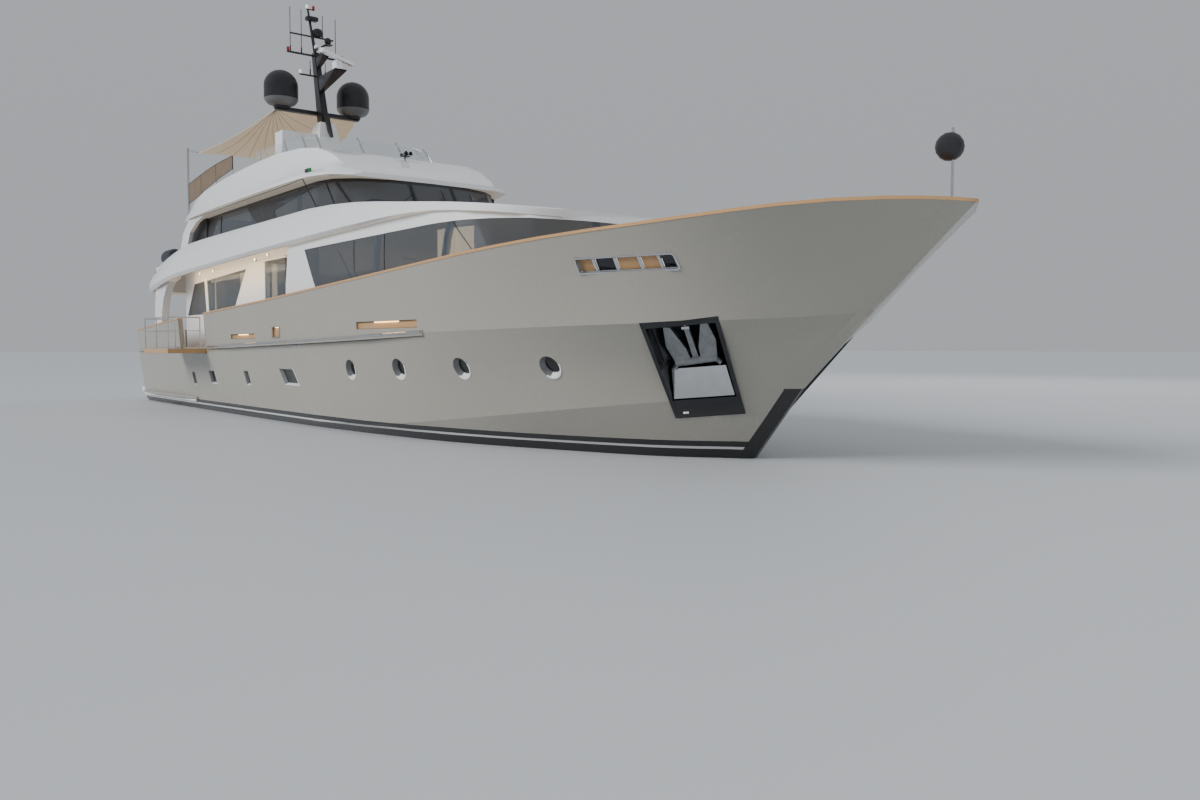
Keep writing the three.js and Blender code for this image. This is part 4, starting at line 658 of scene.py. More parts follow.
def facing(place, normal):
    along = Vector((1, 0, 0))
    upward = normal.cross(along).normalized()
    if upward.z < 0:
        upward = -upward
    along = upward.cross(normal).normalized()
    turn = Matrix((along, upward, normal)).transposed().to_4x4()
    return Matrix.Translation(place) @ turn


def leaning(width, height, lean):
    half_width = width / 2
    half_height = height / 2
    return [(-half_width - lean, half_height), (half_width - lean, half_height),
            (half_width + lean, -half_height), (-half_width + lean, -half_height)]


porthole_frames = {}
window_frames = {}
cutters = []
disc = [(0, -PORTHOLE_DEPTH), (PORTHOLE_RADIUS, -PORTHOLE_DEPTH), (PORTHOLE_RADIUS, OUTSIDE), (0, OUTSIDE)]
for side_name, side in SIDES.items():
    for number, (x, z) in enumerate(PORTHOLES):
        place = facing(*touch(hull, x, side, z))
        porthole_frames[f"{side_name}_{number}"] = place
        cutters.append(put(spun(disc), place))
    for number, (x, z, *sizes) in enumerate(SIDE_WINDOWS):
        place = facing(*touch(hull, x, side, z))
        window_frames[f"{side_name}_{number}"] = place, sizes
        cutters.append(put(outline_block(leaning(*sizes), -WINDOW_DEPTH, OUTSIDE), place))
cutter = join(cutters, "window_cutters")
modify(hull, "BOOLEAN", operation="DIFFERENCE", solver="EXACT", object=cutter)
bpy.data.objects.remove(cutter)
print("deck faces", paint_faces(hull, deck_teak, is_deck))
print("lining faces", paint_faces(hull, white, is_bulwark_lining))
print("coaming faces", paint_faces(hull, white, is_hatch_coaming))
print(len(cutters), "windows cut, hull now", len(hull.data.polygons), "faces")

# %% [markdown]
# A porthole is a white cone that narrows inwards to a dark pane. It is spun from its profile. A cabin
# window is a white tray with a slanting pane at its back, made by insetting the front face of a block
# and pushing it in. The recesses are painted darker where the low light does not reach.

# %% Porthole linings and window trays
RIM_PROFILE = [(0.165, -0.1), (0.218, -0.01), (0.224, 0.008), (0.25, 0.008), (0.25, -0.002),
               (0.2245, -0.004), (0.2245, -0.13), (0.165, -0.13), (0.165, -0.1)]
PANE_PROFILE = [(0, -0.093), (0.167, -0.095), (0.167, -0.12), (0, -0.12)]
LIT_EDGE = Vector((0.5, 0, -0.87))
TRAY_GAP = 0.002
TRAY_LIP = 0.018
TRAY_DEPTH = 0.08


def shade_recess(obj, place, reach):
    middle = place.translation
    out = (place.to_3x3() @ Vector((0, 0, 1))).normalized()

    def is_dark(centre):
        return (centre - middle).dot(LIT_EDGE) < reach

    # Painted shade: on the side the low light does not reach, faces in the recess are grey and faces outside
    # it take hull paint.
    paint_faces(obj, skirt_and_shade_grey, lambda c, n: is_dark(c) and n.dot(out) < 0.9 and (c - middle).dot(out) < 0)
    paint_faces(obj, hull_paint, lambda c, n: is_dark(c) and (c - middle).dot(out) > 0)


def window_tray(width, height, lean):
    outline = leaning(width - TRAY_GAP, height - TRAY_GAP, lean)
    tray = outline_block(outline, -WINDOW_DEPTH + TRAY_GAP, 0.008)
    edit(tray, "DESELECT")
    bpy.ops.mesh.select_mode(type="FACE")
    for face in bmesh.from_edit_mesh(tray.data).faces:
        face.select = face.normal.z > 0.9 and face.calc_center_median().z > 0
    bpy.ops.mesh.inset(thickness=TRAY_LIP)
    bpy.ops.mesh.extrude_region_move(TRANSFORM_OT_translate={"value": (0, 0, -TRAY_DEPTH)})
    bpy.ops.transform.resize(value=(0.86, 0.86, 1))
    bpy.ops.object.mode_set(mode="OBJECT")
    return bevel(tray, 0.004)


for name, place in porthole_frames.items():
    rim = group(f"porthole_rim_{name}", [put(spun(RIM_PROFILE, 40), place)], white, 30)
    shade_recess(rim, place, 0.06)
    group(f"porthole_glass_{name}", [put(spun(PANE_PROFILE, 40), place)], black_glass, 30)
for name, (place, sizes) in window_frames.items():
    tray = group(f"cabin_window_{name}", [put(window_tray(*sizes), place)], white, 30)
    shade_recess(tray, place, 0.12)
    home = place.inverted()
    paint_faces(tray, black_glass, lambda c, n: (home @ c).z < -0.065 and (home.to_3x3() @ n).z > 0.9)
print("portholes and windows lined")

# %% [markdown]
# The bow fairleads are long slots with a polished steel lip and lining, and rollers that stand between
# the top and the bottom for the mooring lines. The lip is a tube that follows the plating.

# %% Bow fairleads
FAIRLEAD = [(11.49, 3.19), (13.24, 3.19), (13.24, 3.43), (11.49, 3.43)]
FAIRLEAD_CORNER = 0.05
LIP_DEPTH = 0.13
FAIRLEAD_ROLLERS = (11.8, 12.2, 12.62, 12.95)
ROLLER_ENDS = (3.2, 3.42)
FAIRLEAD_BOARDS = [(11.53, 11.78, rail_teak), (11.83, 12.17, black_steel), (12.23, 12.59, rail_teak),
                   (12.65, 12.92, rail_teak), (12.98, 13.2, black_steel)]
BELOW_FAIRLEAD = 3.1
ABOVE_FAIRLEAD = 3.55


def rounded_outline(corners, radius, steps=4):
    points = []
    count = len(corners)
    for i, corner in enumerate(corners):
        here = Vector(corner)
        before = (Vector(corners[i - 1]) - here).normalized() * radius
        after = (Vector(corners[(i + 1) % count]) - here).normalized() * radius
        for t in spread(0, 1, steps + 1):
            points.append(here + before * (1 - t) ** 2 + after * t ** 2)
    return points


def plating_over_slot(x, side, z):
    below = touch(hull, x, side, BELOW_FAIRLEAD)[0]
    above, normal = touch(hull, x, side, ABOVE_FAIRLEAD)
    return below.lerp(above, (z - BELOW_FAIRLEAD) / (ABOVE_FAIRLEAD - BELOW_FAIRLEAD)), normal


for side_name, side in SIDES.items():
    lip = []
    for point in rounded_outline(FAIRLEAD, FAIRLEAD_CORNER):
        place, normal = plating_over_slot(point.x, side, point.y)
        lip.append(place)
    inward = -normal.normalized()

    def behind(x, z, depth):
        return plating_over_slot(x, side, z)[0] + inward * depth

    inner_lip = [place + inward * LIP_DEPTH for place in lip]
    pieces = [tube(lip, 0.024, closed=True), tube(inner_lip, 0.016, closed=True),
              ribbon(lip, inward * LIP_DEPTH, 0.006, closed=True)]
    for x in FAIRLEAD_ROLLERS:
        pieces.append(tube([behind(x, z, 0.07) for z in ROLLER_ENDS], 0.026))
    group(f"fairlead_{side_name}", pieces, steel)
    for number, (back, front, tone) in enumerate(FAIRLEAD_BOARDS):
        foot, top = ROLLER_ENDS
        corners = [behind(x, z, 0.09) for x, z in ((back, foot), (front, foot), (front, top), (back, top))]
        board = bevel(panel(corners, inward * 0.02), 0.004)
        group(f"fairlead_board_{side_name}_{number}", [board], tone)
print("fairleads on both bows")

# %% [markdown]
# Three recesses over the rub rail let water off the side deck and hold a warm lamp. Each gets a teak
# board at its back and a slim lamp along its top. The shortest one has a steel frame as well.

# %% Lit slots in the topsides
LIT_SLOTS = [(4.0, 6.7, 2.38, 2.54), (-4.5, -2.5, 2.22, 2.36), (-1.12, -0.6, 2.24, 2.52)]
SLOT_CUT = 0.1
SLOT_LAMP = 0.4
for side_name, side in SIDES.items():
    for number, (back, front, low, high) in enumerate(LIT_SLOTS):
        stern_end = touch(hull, back - 0.03, side, high)[0]
        bow_end = touch(hull, front + 0.03, side, high)[0]
        centre = stern_end.lerp(bow_end, 0.5)
        centre.z = (low + high) / 2
        along = (bow_end - stern_end).normalized()
        outward = Vector((-side * along.y, side * along.x, 0))
        turn = Matrix((along, Vector((0, 0, 1)), outward)).transposed().to_4x4()
        place = Matrix.Translation(centre) @ turn
        half = (front - back) / 2 - 0.008
        tall = (high - low) / 2 - 0.006
        corners = [(-half, -tall), (half, -tall), (half, tall), (-half, tall)]
        board = put(bevel(outline_block(corners, -SLOT_CUT + 0.004, -0.045), 0.006), place)
        group(f"slot_board_{side_name}_{number}", [board], rail_teak, 30)
        reach = half * SLOT_LAMP
        foot, top = tall - 0.022, tall - 0.004
        lamp = outline_block([(-reach, foot), (reach, foot), (reach, top), (-reach, top)], -0.044, -0.024)
        lamp = put(bevel(lamp, 0.004), place)
        group(f"slot_lamp_{side_name}_{number}", [lamp], warm_lamp, 30)
        if front - back < 1:
            edge = tube([place @ Vector((*corner, 0.004)) for corner in corners], 0.016, closed=True)
            group(f"slot_frame_{side_name}", [edge], steel)
print("lit slots fitted")

# %% [markdown]
# Seen at a low angle, long topsides show every facet, above all round the holes that are cut in them.
# The lines of the hull are known, the waterline first and the sheer last, so the true direction of the
# surface can be worked out at any corner and given to it. The knuckle and the chine stay crisp, because
# the panels either side of them follow different lines.

# %% Lines of the topsides
CHINE, KNUCKLE, SHEER = 1, 2, 3
HULL_LINES = [
    {"along": [-15.6, -9.8, -4.3, -0.4, 2.8, 5.7, 7.7, 9.1, 11, 12.07, 12.45],
     "half": [3.3, 3.36, 3.38, 3.34, 3.15, 2.83, 2.35, 1.86, 1.14, 0.36, 0],
     "height": [0] * 11},
    {"along": [-15.6, -10, -5, 1, 4.3, 6.1, 9.85, 11.9, 12.8, 13.3, 13.54],
     "half": [3.4, 3.45, 3.48, 3.45, 3.3, 3.05, 2.4, 1.55, 0.8, 0.25, 0],
     "height": [0.12, 0.12, 0.12, 0.16, 0.28, 0.44, 0.83, 1.05, 1.15, 1.22, 1.28]},
    {"along": [-15.6, -12, -7, 0, 4, 7, 9, 10.7, 12.3, 13.5, 14.3, 14.8, 14.98],
     "half": [3.64, 3.7, 3.74, 3.75, 3.72, 3.62, 3.42, 3.08, 2.56, 1.78, 0.87, 0.22, 0],
     "height": [1.9, 1.95, 2.0, 2.12, 2.2, 2.28, 2.31, 2.34, 2.37, 2.41, 2.46, 2.52, 2.56]},
    {"along": [-15.6, -12.3, -9.5, -3, 3.9, 8.4, 9.95, 11.16, 13.1, 14.6, 15.3, 15.9, 16.35, 16.65, 16.72],
     "half": [3.66, 3.78, 3.8, 3.8, 3.8, 3.8, 3.72, 3.53, 3.0, 2.32, 1.86, 1.26, 0.62, 0.16, 0],
     "height": [2.62, 2.77, 2.91, 3.14, 3.46, 3.66, 3.73, 3.79, 3.88, 3.99, 4.04, 4.07, 4.08, 4.06, 4.05]},
]
HOLLOW_FROM = 4
HOLLOW_DEEPEST = 0.12
HOLLOW_GROWTH = 0.014
HOLLOW_SHARES = (0, 1, 0.4)
BLUNT_HALF = 0.6


def curve(places, values, x):
    last = len(places) - 1
    if x <= places[0]:
        return values[0]
    if x >= places[last]:
        return values[last]
    i = max(k for k in range(last) if places[k] <= x)

    def slope(k):
        return (values[k + 1] - values[k]) / (places[k + 1] - places[k])

    def tangent(k):
        if k in (0, last):
            return slope(0 if k == 0 else last - 1)
        before, after = slope(k - 1), slope(k)
        return 0 if before * after <= 0 else 2 * before * after / (before + after)

    width = places[i + 1] - places[i]
    t = (x - places[i]) / width
    start = values[i] * (1 + 2 * t) * (1 - t) ** 2 + tangent(i) * width * t * (1 - t) ** 2
    return start + values[i + 1] * t * t * (3 - 2 * t) + tangent(i + 1) * width * t * t * (t - 1)


def line_at(which, x):
    line = HULL_LINES[which]
    if x > line["along"][-1] and which < SHEER:
        above = HULL_LINES[which + 1]
        t = (x - line["along"][-1]) / (above["along"][-1] - line["along"][-1])
        return 0.0, line["height"][-1] + (above["height"][-1] - line["height"][-1]) * t
    squares = [half * half for half in line["half"]]
    return math.sqrt(max(0.0, curve(line["along"], squares, x))), curve(line["along"], line["height"], x)


def breadth(x, z, band):
    low_half, low = line_at(band, x)
    high_half, high = line_at(band + 1, x)
    t = (z - low) / max(0.05, high - low)
    half = low_half + (high_half - low_half) * t
    hollow = max(0.0, min(HOLLOW_DEEPEST, (x - HOLLOW_FROM) * HOLLOW_GROWTH))
    return half - hollow * HOLLOW_SHARES[band] * math.sin(math.pi * t) * min(1.0, max(0.0, half))


def skin_normal(x, side, z, band):
    step = 0.03
    along = (breadth(x + step, z, band) - breadth(x - step, z, band)) / (2 * step)
    upward = (breadth(x, z + step, band) - breadth(x, z - step, band)) / (2 * step)
    return Vector((-along, side, -upward)).normalized()


def fair_topsides(obj):
    mesh = obj.data
    normals = [Vector(corner.vector) for corner in mesh.corner_normals]
    count = 0
    for face in mesh.polygons:
        x, y, z = face.center
        if not 0.02 < z < line_at(SHEER, x)[1] or abs(y) < 0.01:
            continue
        side = 1 if y > 0 else -1
        band = sum(z > line_at(line, x)[1] for line in (CHINE, KNUCKLE))
        near = abs(abs(y) - breadth(x, z, band)) < (0.25 if face.area > 0.05 else 0.06)
        alike = 0.75 if abs(y) < BLUNT_HALF else 0.9
        if near and face.normal.dot(skin_normal(x, side, z, band)) > alike:
            count += 1
            for corner in face.loop_indices:
                place = mesh.vertices[mesh.loops[corner].vertex_index].co
                normals[corner] = skin_normal(place.x, side, place.z, band)
    mesh.normals_split_custom_set(normals)
    return count


print("topside faces made fair", fair_topsides(hull))

# %% [markdown]
# The rub rail takes the knocks of a quay. It is part of the moulding, with a polished steel strip let
# into its outer face. Its underside is black: painted shade under the rail. The strip is a tube that is
# sunk in the rail. Low on each quarter a white half-round ledge throws the wash clear of the side.

# %% Rub rails and wash ledges
RUB_RAIL_RUNS = [(-15.45, -10.0), (-6.7, 6.86)]
RAIL_STEP = 0.5
RAIL_REACH = 0.13
LEDGE_ALONG = (-15.5, -8.83)
LEDGE_HEIGHT = 0.275


def is_shaded_rail_underside(centre, normal):
    knuckle = line_at(KNUCKLE, centre.x)[1]
    return normal.z < -0.25 and -RAIL_REACH < centre.z - knuckle < -0.03 and centre.x < 7


# Painted shade: the faces under the rail are painted black.
print("rail undersides", paint_faces(hull, black, is_shaded_rail_underside))
for side_name, side in SIDES.items():
    for number, (back, front) in enumerate(RUB_RAIL_RUNS):
        stations = spread(back, front, round((front - back) / RAIL_STEP) + 1)
        strip = [touch(hull, x, side, line_at(KNUCKLE, x)[1] + 0.01)[0] for x in stations]
        group(f"rub_strip_{side_name}_{number}", [tube(strip, 0.028)], steel)
    ledge = [touch(hull, x, side, LEDGE_HEIGHT)[0] for x in spread(*LEDGE_ALONG, 15)]
    group(f"wash_ledge_{side_name}", [tube(ledge, 0.06)], white)
print("rub rails with steel strips, and wash ledges")

# %% [markdown]
# Each anchor lives in a pocket of black polished steel. Under its crown a bright plate slopes outward
# to turn the anchor as it comes home, and a black chin guards the paint below. Both are panels whose
# corners are given across, down and out of the pocket.

# %% Anchor pockets
POCKET = [Vector((12.3, 2.56, 2.38)), Vector((13.43, 1.88, 2.48)), Vector((12.75, 0.53, 0.85)),
          Vector((11.82, 1.31, 0.75))]
POCKET_OUT = Vector((0.483, 0.592, -0.645))
SLIDE = [(0.13, 0.57, -0.24), (0.87, 0.57, -0.24), (0.92, 0.8, -0.02), (0.07, 0.8, -0.02)]
CHIN = [(0.02, 0.805, 0.012), (0.98, 0.805, 0.012), (0.98, 0.985, 0.012), (0.02, 0.985, 0.012)]
PLATE = 0.012


def in_pocket(side, *places):
    found = []
    for across, down, out in places:
        top = POCKET[0].lerp(POCKET[1], across)
        bottom = POCKET[3].lerp(POCKET[2], across)
        place = top.lerp(bottom, down) + POCKET_OUT * out
        found.append((place.x, side * place.y, place.z))
    return found


for side_name, side in SIDES.items():
    dressed(f"anchor_pocket_{side_name}", f"pocket_steel_{side_name}", black_steel)
    dressed(f"anchor_{side_name}", f"anchor_worn_{side_name}", worn_steel)
    outward = (PLATE * POCKET_OUT.x, side * PLATE * POCKET_OUT.y, PLATE * POCKET_OUT.z)
    slide = bevel(panel(in_pocket(side, *SLIDE), outward), 0.003)
    group(f"anchor_slide_{side_name}", [slide], steel)
    chin = bevel(panel(in_pocket(side, *CHIN), outward), 0.004)
    group(f"pocket_chin_{side_name}", [chin], black_glass)
    shackle = [tube(in_pocket(side, (0.45, 0.17, -0.25), (0.55, 0.17, -0.25)), 0.04),
               tube(in_pocket(side, (0.5, 0.15, -0.25), (0.5, 0.03, -0.3)), 0.026)]
    group(f"anchor_shackle_{side_name}", shackle, steel)
    fitting = tube(in_pocket(side, (0.14, 0.94, 0.03), (0.22, 0.94, 0.03)), 0.02)
    group(f"pocket_fitting_{side_name}", [fitting], white)
print("anchor pockets fitted")

# %% [markdown]
# Superstructure: the wide main deckhouse, the upper deck with its long overhanging band, the
# wheelhouse and the sundeck moulding are all white gelcoat. Floors are teak and undersides cream.

# %% Superstructure
UPPER_DECK_LEVEL = 4.95
SUNDECK_LEVEL = 6.78
deckhouse = dressed("main_deckhouse", "deckhouse_moulding", white, 28)
upper_deck = dressed("upper_deck", "upper_deck_moulding", white, 28)
wheelhouse = dressed("wheelhouse", "wheelhouse_moulding", white, 28)
sundeck = dressed("sundeck", "sundeck_moulding", white, 28)
for moulding, level, overhang in ((upper_deck, UPPER_DECK_LEVEL, 4.0), (sundeck, SUNDECK_LEVEL, 6.0)):
    paint_faces(moulding, deck_teak, lambda c, n: n.z > LEVEL and abs(c.z - level) < NEAR_DECK)
    paint_faces(moulding, lining, lambda c, n: n.z < -0.9 and c.z > overhang)
paint_faces(wheelhouse, black, lambda c, n: 5.45 < c.z < 6.385 and abs(n.z) < 0.7)
print("superstructure dressed")

# %% [markdown]
# Everything that CAD drew whole and flat keeps its node and takes a finish: panes, doors and hatches.
# The rest are mouldings, castings and tubes. They are copied, merged and shaded smooth, each with its
# finish, and the table names a slot beside it. In the names a star stands for either side, and what moves
# rides on its own body.

# %% Nodes with one finish
PANES = ["cabin_glass", "wheelhouse_glass"]
for name in ("saloon_glass", "side_door", "saloon_door", "upper_door"):
    PANES += [f"{name}_{side_name}" for side_name in SIDES]
PLAIN_NODES = dict.fromkeys(PANES, glass) | {"transom_hatch": hull_paint, "foredeck_hatch": white}
for name, material in PLAIN_NODES.items():
    nodes[name].data.materials.clear()
    nodes[name].data.materials.append(material)
DRESSED = [
    ("cap_rail_forward", "bow_cap_rail", rail_teak, "teak"),
    ("cap_rail_aft_*", "aft_cap_rail_*", rail_teak, "teak"),
    ("cap_rail_stern", "stern_cap_rail", rail_teak, "teak"),
    ("mast_base", "mast_foot_white", white, "white_gelcoat"),
    ("sundeck_windscreen", "screen_glass", clear_glass, "tinted_glass"),
    ("sundeck_bar", "bar_white", white, "white_gelcoat"),
    ("upper_aft_rail", "upper_rail_steel", steel, "stainless"),
    ("awning_pole_*", "pole_*", steel, "stainless"),
    ("aft_table", "table_teak", rail_teak, "teak"),
    ("helm_console", "helm_black", black, "black_paint"),
    ("windlass", "windlass_steel", steel, "stainless"),
    ("radar_scanner", "radar_white", white, "white_gelcoat"),
    ("propeller_*", "propeller_bronze_*", bronze, "bronze"),
    ("shaft_bracket_*", "bracket_*", antifouling, "bronze"),
    ("rudder_*", "rudder_blade_*", antifouling, "bronze"),
    ("stabiliser_fin_*", "fin_*", antifouling, "fin_paint"),
]
MOVING = ("radar_scanner", "propeller_*", "rudder_*", "stabiliser_fin_*")
for name, piece_name, material, slot in DRESSED:
    for side_name in SIDES if "*" in name else [""]:
        node_name = name.replace("*", side_name)
        body = f"{node_name}_body" if name in MOVING else "yacht"
        dressed(node_name, piece_name.replace("*", side_name), material, body=body)
print(len(PLAIN_NODES), "nodes finished as they are,", len(DRESSED), "kinds dressed")

# %% [markdown]
# Some nodes have two finishes or more. The platform is a white moulding with teak planks on top. Each
# balcony is teak with steel stanchions, and hull paint below, which closes the topside when it is
# folded. The mast is black with a white pedestal under the radar, and the jackstaff carries a ball.

# %% Platform, jackstaff, balconies and mast
JACK_BALL = Vector((16.28, 0, 4.9))
JACK_BALL_REACH = 0.215
BALCONY_FLOOR = 1.95
RADAR_AXIS = Vector((-5.45, 0, 10.66))
platform = dressed("swim_platform", "platform_moulding", white, 30)
paint_faces(platform, deck_teak, lambda c, n: n.z > LEVEL)
jackstaff = dressed("jackstaff", "jackstaff_steel", steel)
paint_faces(jackstaff, black, lambda c, n: (c - JACK_BALL).length < JACK_BALL_REACH)
for side_name in SIDES:
    balcony = dressed(f"balcony_{side_name}", f"balcony_teak_{side_name}", rail_teak,
                      body=f"balcony_{side_name}_body")
    paint_faces(balcony, steel, lambda c, n: c.z > BALCONY_FLOOR)
    paint_faces(balcony, hull_paint, lambda c, n: n.z < -0.9 and c.z < BALCONY_FLOOR)
mast = dressed("mast", "mast_black", black)
paint_faces(mast, white, lambda c, n: c.z > RADAR_AXIS.z + 0.005 and (c - RADAR_AXIS).length < 0.37)
print("platform, jackstaff, balconies and mast finished")

# %% [markdown]
# A satellite dome is a smooth plastic shell on a paler cone-shaped skirt, with a shallow groove where
# the shell is bolted to the skirt. It is spun from its profile, closed at the top by a quarter round.

# %% Satellite domes
DOME_BASE = 9.6806
DOME_RADIUS = 0.53


def crown(radius, height, base, steps):
    turns = spread(0, math.pi / 2, steps + 1)
    return [(radius * math.cos(turn), base + height * math.sin(turn)) for turn in turns]


dome_profile = [(0, 0), (0.26, 0), (0.29, 0.012), (0.43, 0.07), (0.505, 0.16), (DOME_RADIUS, 0.225),
                (0.521, 0.232), (0.521, 0.244), (DOME_RADIUS, 0.251), (DOME_RADIUS, 0.45),
                *crown(DOME_RADIUS, 0.52, 0.62, 12)]
for side_name, side in SIDES.items():
    shell = lathe(dome_profile, (-7.04, side * 1.22, DOME_BASE), steps=48)
    dome = group(f"dome_{side_name}", [shell], black, 40, (f"satellite_dome_{side_name}",))
    paint_faces(dome, skirt_and_shade_grey, lambda c, n: c.z < DOME_BASE + 0.235)
print("two domes")

# %% [markdown]
# The mast carries whip aerials on its spreaders, a small dome, a camera ball, a white receiver and two
# lamps at the top. The whips are thin tubes with a thicker foot. Where the mast is at a given height
# follows from its rake.

# %% Aerials and fittings on the mast
WHIPS = [(-7.18, -0.84, 11.5, 12.93), (-7.18, -0.47, 11.5, 12.91), (-7.47, 0.37, 12.2, 12.95),
         (-7.18, 0.69, 11.5, 12.82), (-7.0, -0.26, 10.8, 11.29), (-7.0, 0.25, 10.8, 11.28)]
LAMP_PROFILE = [(0, 0), (0.03, 0), (0.045, 0.015), (0.045, 0.1), (0.03, 0.125), (0, 0.13)]
MAST_LAMPS = [
    ("top_starboard", (-7.62, -0.09, 13.13), white_lens), ("top_port", (-7.62, 0.13, 13.13), red_lens),
    ("low_starboard", (-7.0, -0.59, 10.82), white_lens), ("high_starboard", (-7.18, -0.92, 11.53), red_lens),
    ("low_port", (-7.0, 0.59, 10.82), white_lens), ("high_port", (-7.18, 0.92, 11.53), red_lens),
]


def mast_at(z):
    return -6.6 - 0.25 * (z - 9.2)


whips = []
for x, y, low, high in WHIPS:
    whips += [tube([(x, y, low), (x, y, high)], 0.011), tube([(x, y, low), (x, y, low + 0.2)], 0.022)]
group("mast_whips", whips, black)
small_dome = [(0, 0), (0.1, 0), (0.12, 0.02), (0.17, 0.05), *crown(0.185, 0.16, 0.12, 8)]
fittings = [tube([(mast_at(11.7), 0, 11.66), (-6.89, -0.045, 11.66)], 0.025),
            tube([(mast_at(11.84), 0, 11.8), (-6.9, 0.31, 11.84)], 0.025),
            block((-7.02, 0.19, 11.835), (-6.78, 0.44, 11.858), 0.005, 2),
            block((-7.66, -0.17, 12.72), (-7.42, 0.24, 12.87), 0.06, 4),
            tube([(-7.62, -0.12, 13.12), (-7.62, 0.16, 13.12)], 0.02),
            lathe(small_dome, (-7.47, 0.2, 12.22))]
group("mast_fittings", fittings, black)
half_ball = crown(0.115, 0.115, 0, 6)
ball = [(radius, -z) for radius, z in half_ball[:0:-1]] + half_ball
group("mast_camera", [lathe(ball, (-6.9, 0.31, 11.97))], black_glass)
receiver = block((-6.98, -0.13, 11.675), (-6.80, 0.04, 11.78), 0.02)
group("mast_receiver", [receiver], white)
for name, place, material in MAST_LAMPS:
    group(f"mast_lamp_{name}", [lathe(LAMP_PROFILE, place, steps=20)], material)
print(len(WHIPS), "whips and", len(MAST_LAMPS), "lamps on the mast")

# %% [markdown]
# The sundeck screen stands between steel posts. The posts lean as the glass does. The twin horns are
# small trumpets on the slope in front of it.

# %% Screen posts and horns
SCREEN_PLAN = {"half": [0, 1.2, 1.82, 2.18, 2.37, 2.5], "along": [-1.64, -1.76, -2.06, -2.55, -4.0, -6.2]}
SCREEN_POSTS = [(0.64, 0.03), (1.8, 0.03), (2.1, 0.022), (2.3, 0.018), (2.46, 0.018)]
POST_TOP = 8.05
HORN_PROFILE = [(0, 0), (0.03, 0), (0.034, 0.05), (0.016, 0.08), (0.018, 0.22), (0.034, 0.3), (0.06, 0.34),
                (0.056, 0.34), (0.03, 0.3), (0.0, 0.29)]


def screen_at(side, half, z):
    x = curve(SCREEN_PLAN["half"], SCREEN_PLAN["along"], half)
    rake = max(0.0, min(1.0, (x + 6.2) / 2.4)) * 0.95 * (z - 7)
    return Vector((x - rake - 0.02, side * half * (1 - 0.05 * (z - 7)), z))


for side_name, side in SIDES.items():
    posts = []
    for half, radius in SCREEN_POSTS:
        top = screen_at(side, half, POST_TOP)
        foot = cast(sundeck, top, screen_at(side, half, SUNDECK_LEVEL + 0.02) - top)[0]
        posts.append(tube([foot, top], radius))
    group(f"screen_posts_{side_name}", posts, steel)
horn_foot = drop(sundeck, -1.15, 0.12)[0]
horns = [tube([horn_foot - Vector((0, 0, 0.02)), horn_foot + Vector((0, 0, 0.12))], 0.018),
         block((-1.26, 0.02, horn_foot.z + 0.1), (-1.06, 0.24, horn_foot.z + 0.125), 0.005, 2)]
for y in (0.06, 0.2):
    horns.append(lathe(HORN_PROFILE, (-1.3, y, horn_foot.z + 0.17), (1, 0, 0), 24))
group("horns", horns, black)
print("screen posts and horns")

# %% [markdown]
# The wheelhouse windows look like one dark band. Black bonded pillars and thin joints break it up, and
# three wipers rest on the windscreen. The aft pillar runs on along the top of the side glass as a black
# wedge, which is painted shadow of the brow. Each is laid on the glass by rays from the side or from ahead.

# %% Window joints and wipers
house_glass = nodes["wheelhouse_glass"]
cabin_pane = nodes["cabin_glass"]
# The aft black panel: a bonded pillar, and along the top of the glass a painted shadow of the brow.
AFT_PILLAR_AND_BROW_SHADOW = [(-6.45, 6.285), (-0.75, 6.265), (-4.05, 5.95), (-3.7, 5.52), (-5.15, 5.52)]
HOUSE_JOINTS = [((-0.52, 6.28), (0.1, 5.55), 0.02), ((-0.14, 6.25), (0.5, 5.56), 0.036),
                ((-8.9, 6.28), (-8.9, 5.52), 0.016)]
CABIN_JOINTS = [((3.54, 4.38), (3.7, 3.5), 0.009), ((5.05, 4.38), (5.2, 3.62), 0.009),
                ((7.78, 4.38), (8.45, 3.76), 0.009)]
SALOON_POST = [(-9.95, 4.3), (-9.7, 4.3), (-9.5, 3.1), (-9.75, 3.1)]
WIPERS = [(-1.2, 5.58, -0.64, 6.02), (0.55, 5.6, 1.16, 5.97), (-0.3, 5.58, 0.25, 6.0)]


def on_front(y, z):
    place, normal = cast(house_glass, (12, y, z), (-1, 0, 0))
    return place + normal * 0.006


def on_side(obj, x, side, z):
    place, normal = touch(obj, x, side, z)
    return place + normal * 0.004


def joints_on(obj, side, joints):
    made = []
    for top, bottom, radius in joints:
        places = zip(spread(top[0], bottom[0], 5), spread(top[1], bottom[1], 5))
        made.append(tube([on_side(obj, x, side, z) for x, z in places], radius))
    return made


for side_name, side in SIDES.items():
    # This panel is the pillar together with the painted brow shadow.
    pillar_and_shadow = panel([on_side(house_glass, x, side, z) for x, z in AFT_PILLAR_AND_BROW_SHADOW], (0, side * 0.006, 0))
    joints = joints_on(house_glass, side, HOUSE_JOINTS)
    group(f"window_pillars_and_brow_shadow_{side_name}", [pillar_and_shadow] + joints, black)
    group(f"cabin_joints_{side_name}", joints_on(cabin_pane, side, CABIN_JOINTS), black_glass)
    front_post = tube([on_front(side * 0.62, z) for z in (6.26, 5.54)], 0.02)
    group(f"screen_pillar_{side_name}", [front_post], black)
    saloon_post = panel([(x, side * 2.852, z) for x, z in SALOON_POST], (0, side * 0.008, 0))
    group(f"saloon_post_{side_name}", [saloon_post], lining)
wipers = []
lift = Vector((0.03, 0, 0.02))
for foot_y, foot_z, top_y, top_z in WIPERS:
    foot, tip = on_front(foot_y, foot_z), on_front(top_y, top_z)
    wipers.append(tube([foot, foot + lift, tip + lift * 0.6], 0.01))
    wipers.append(tube([on_front(top_y, top_z + reach) + lift * 0.4 for reach in (-0.2, 0.2)], 0.012))
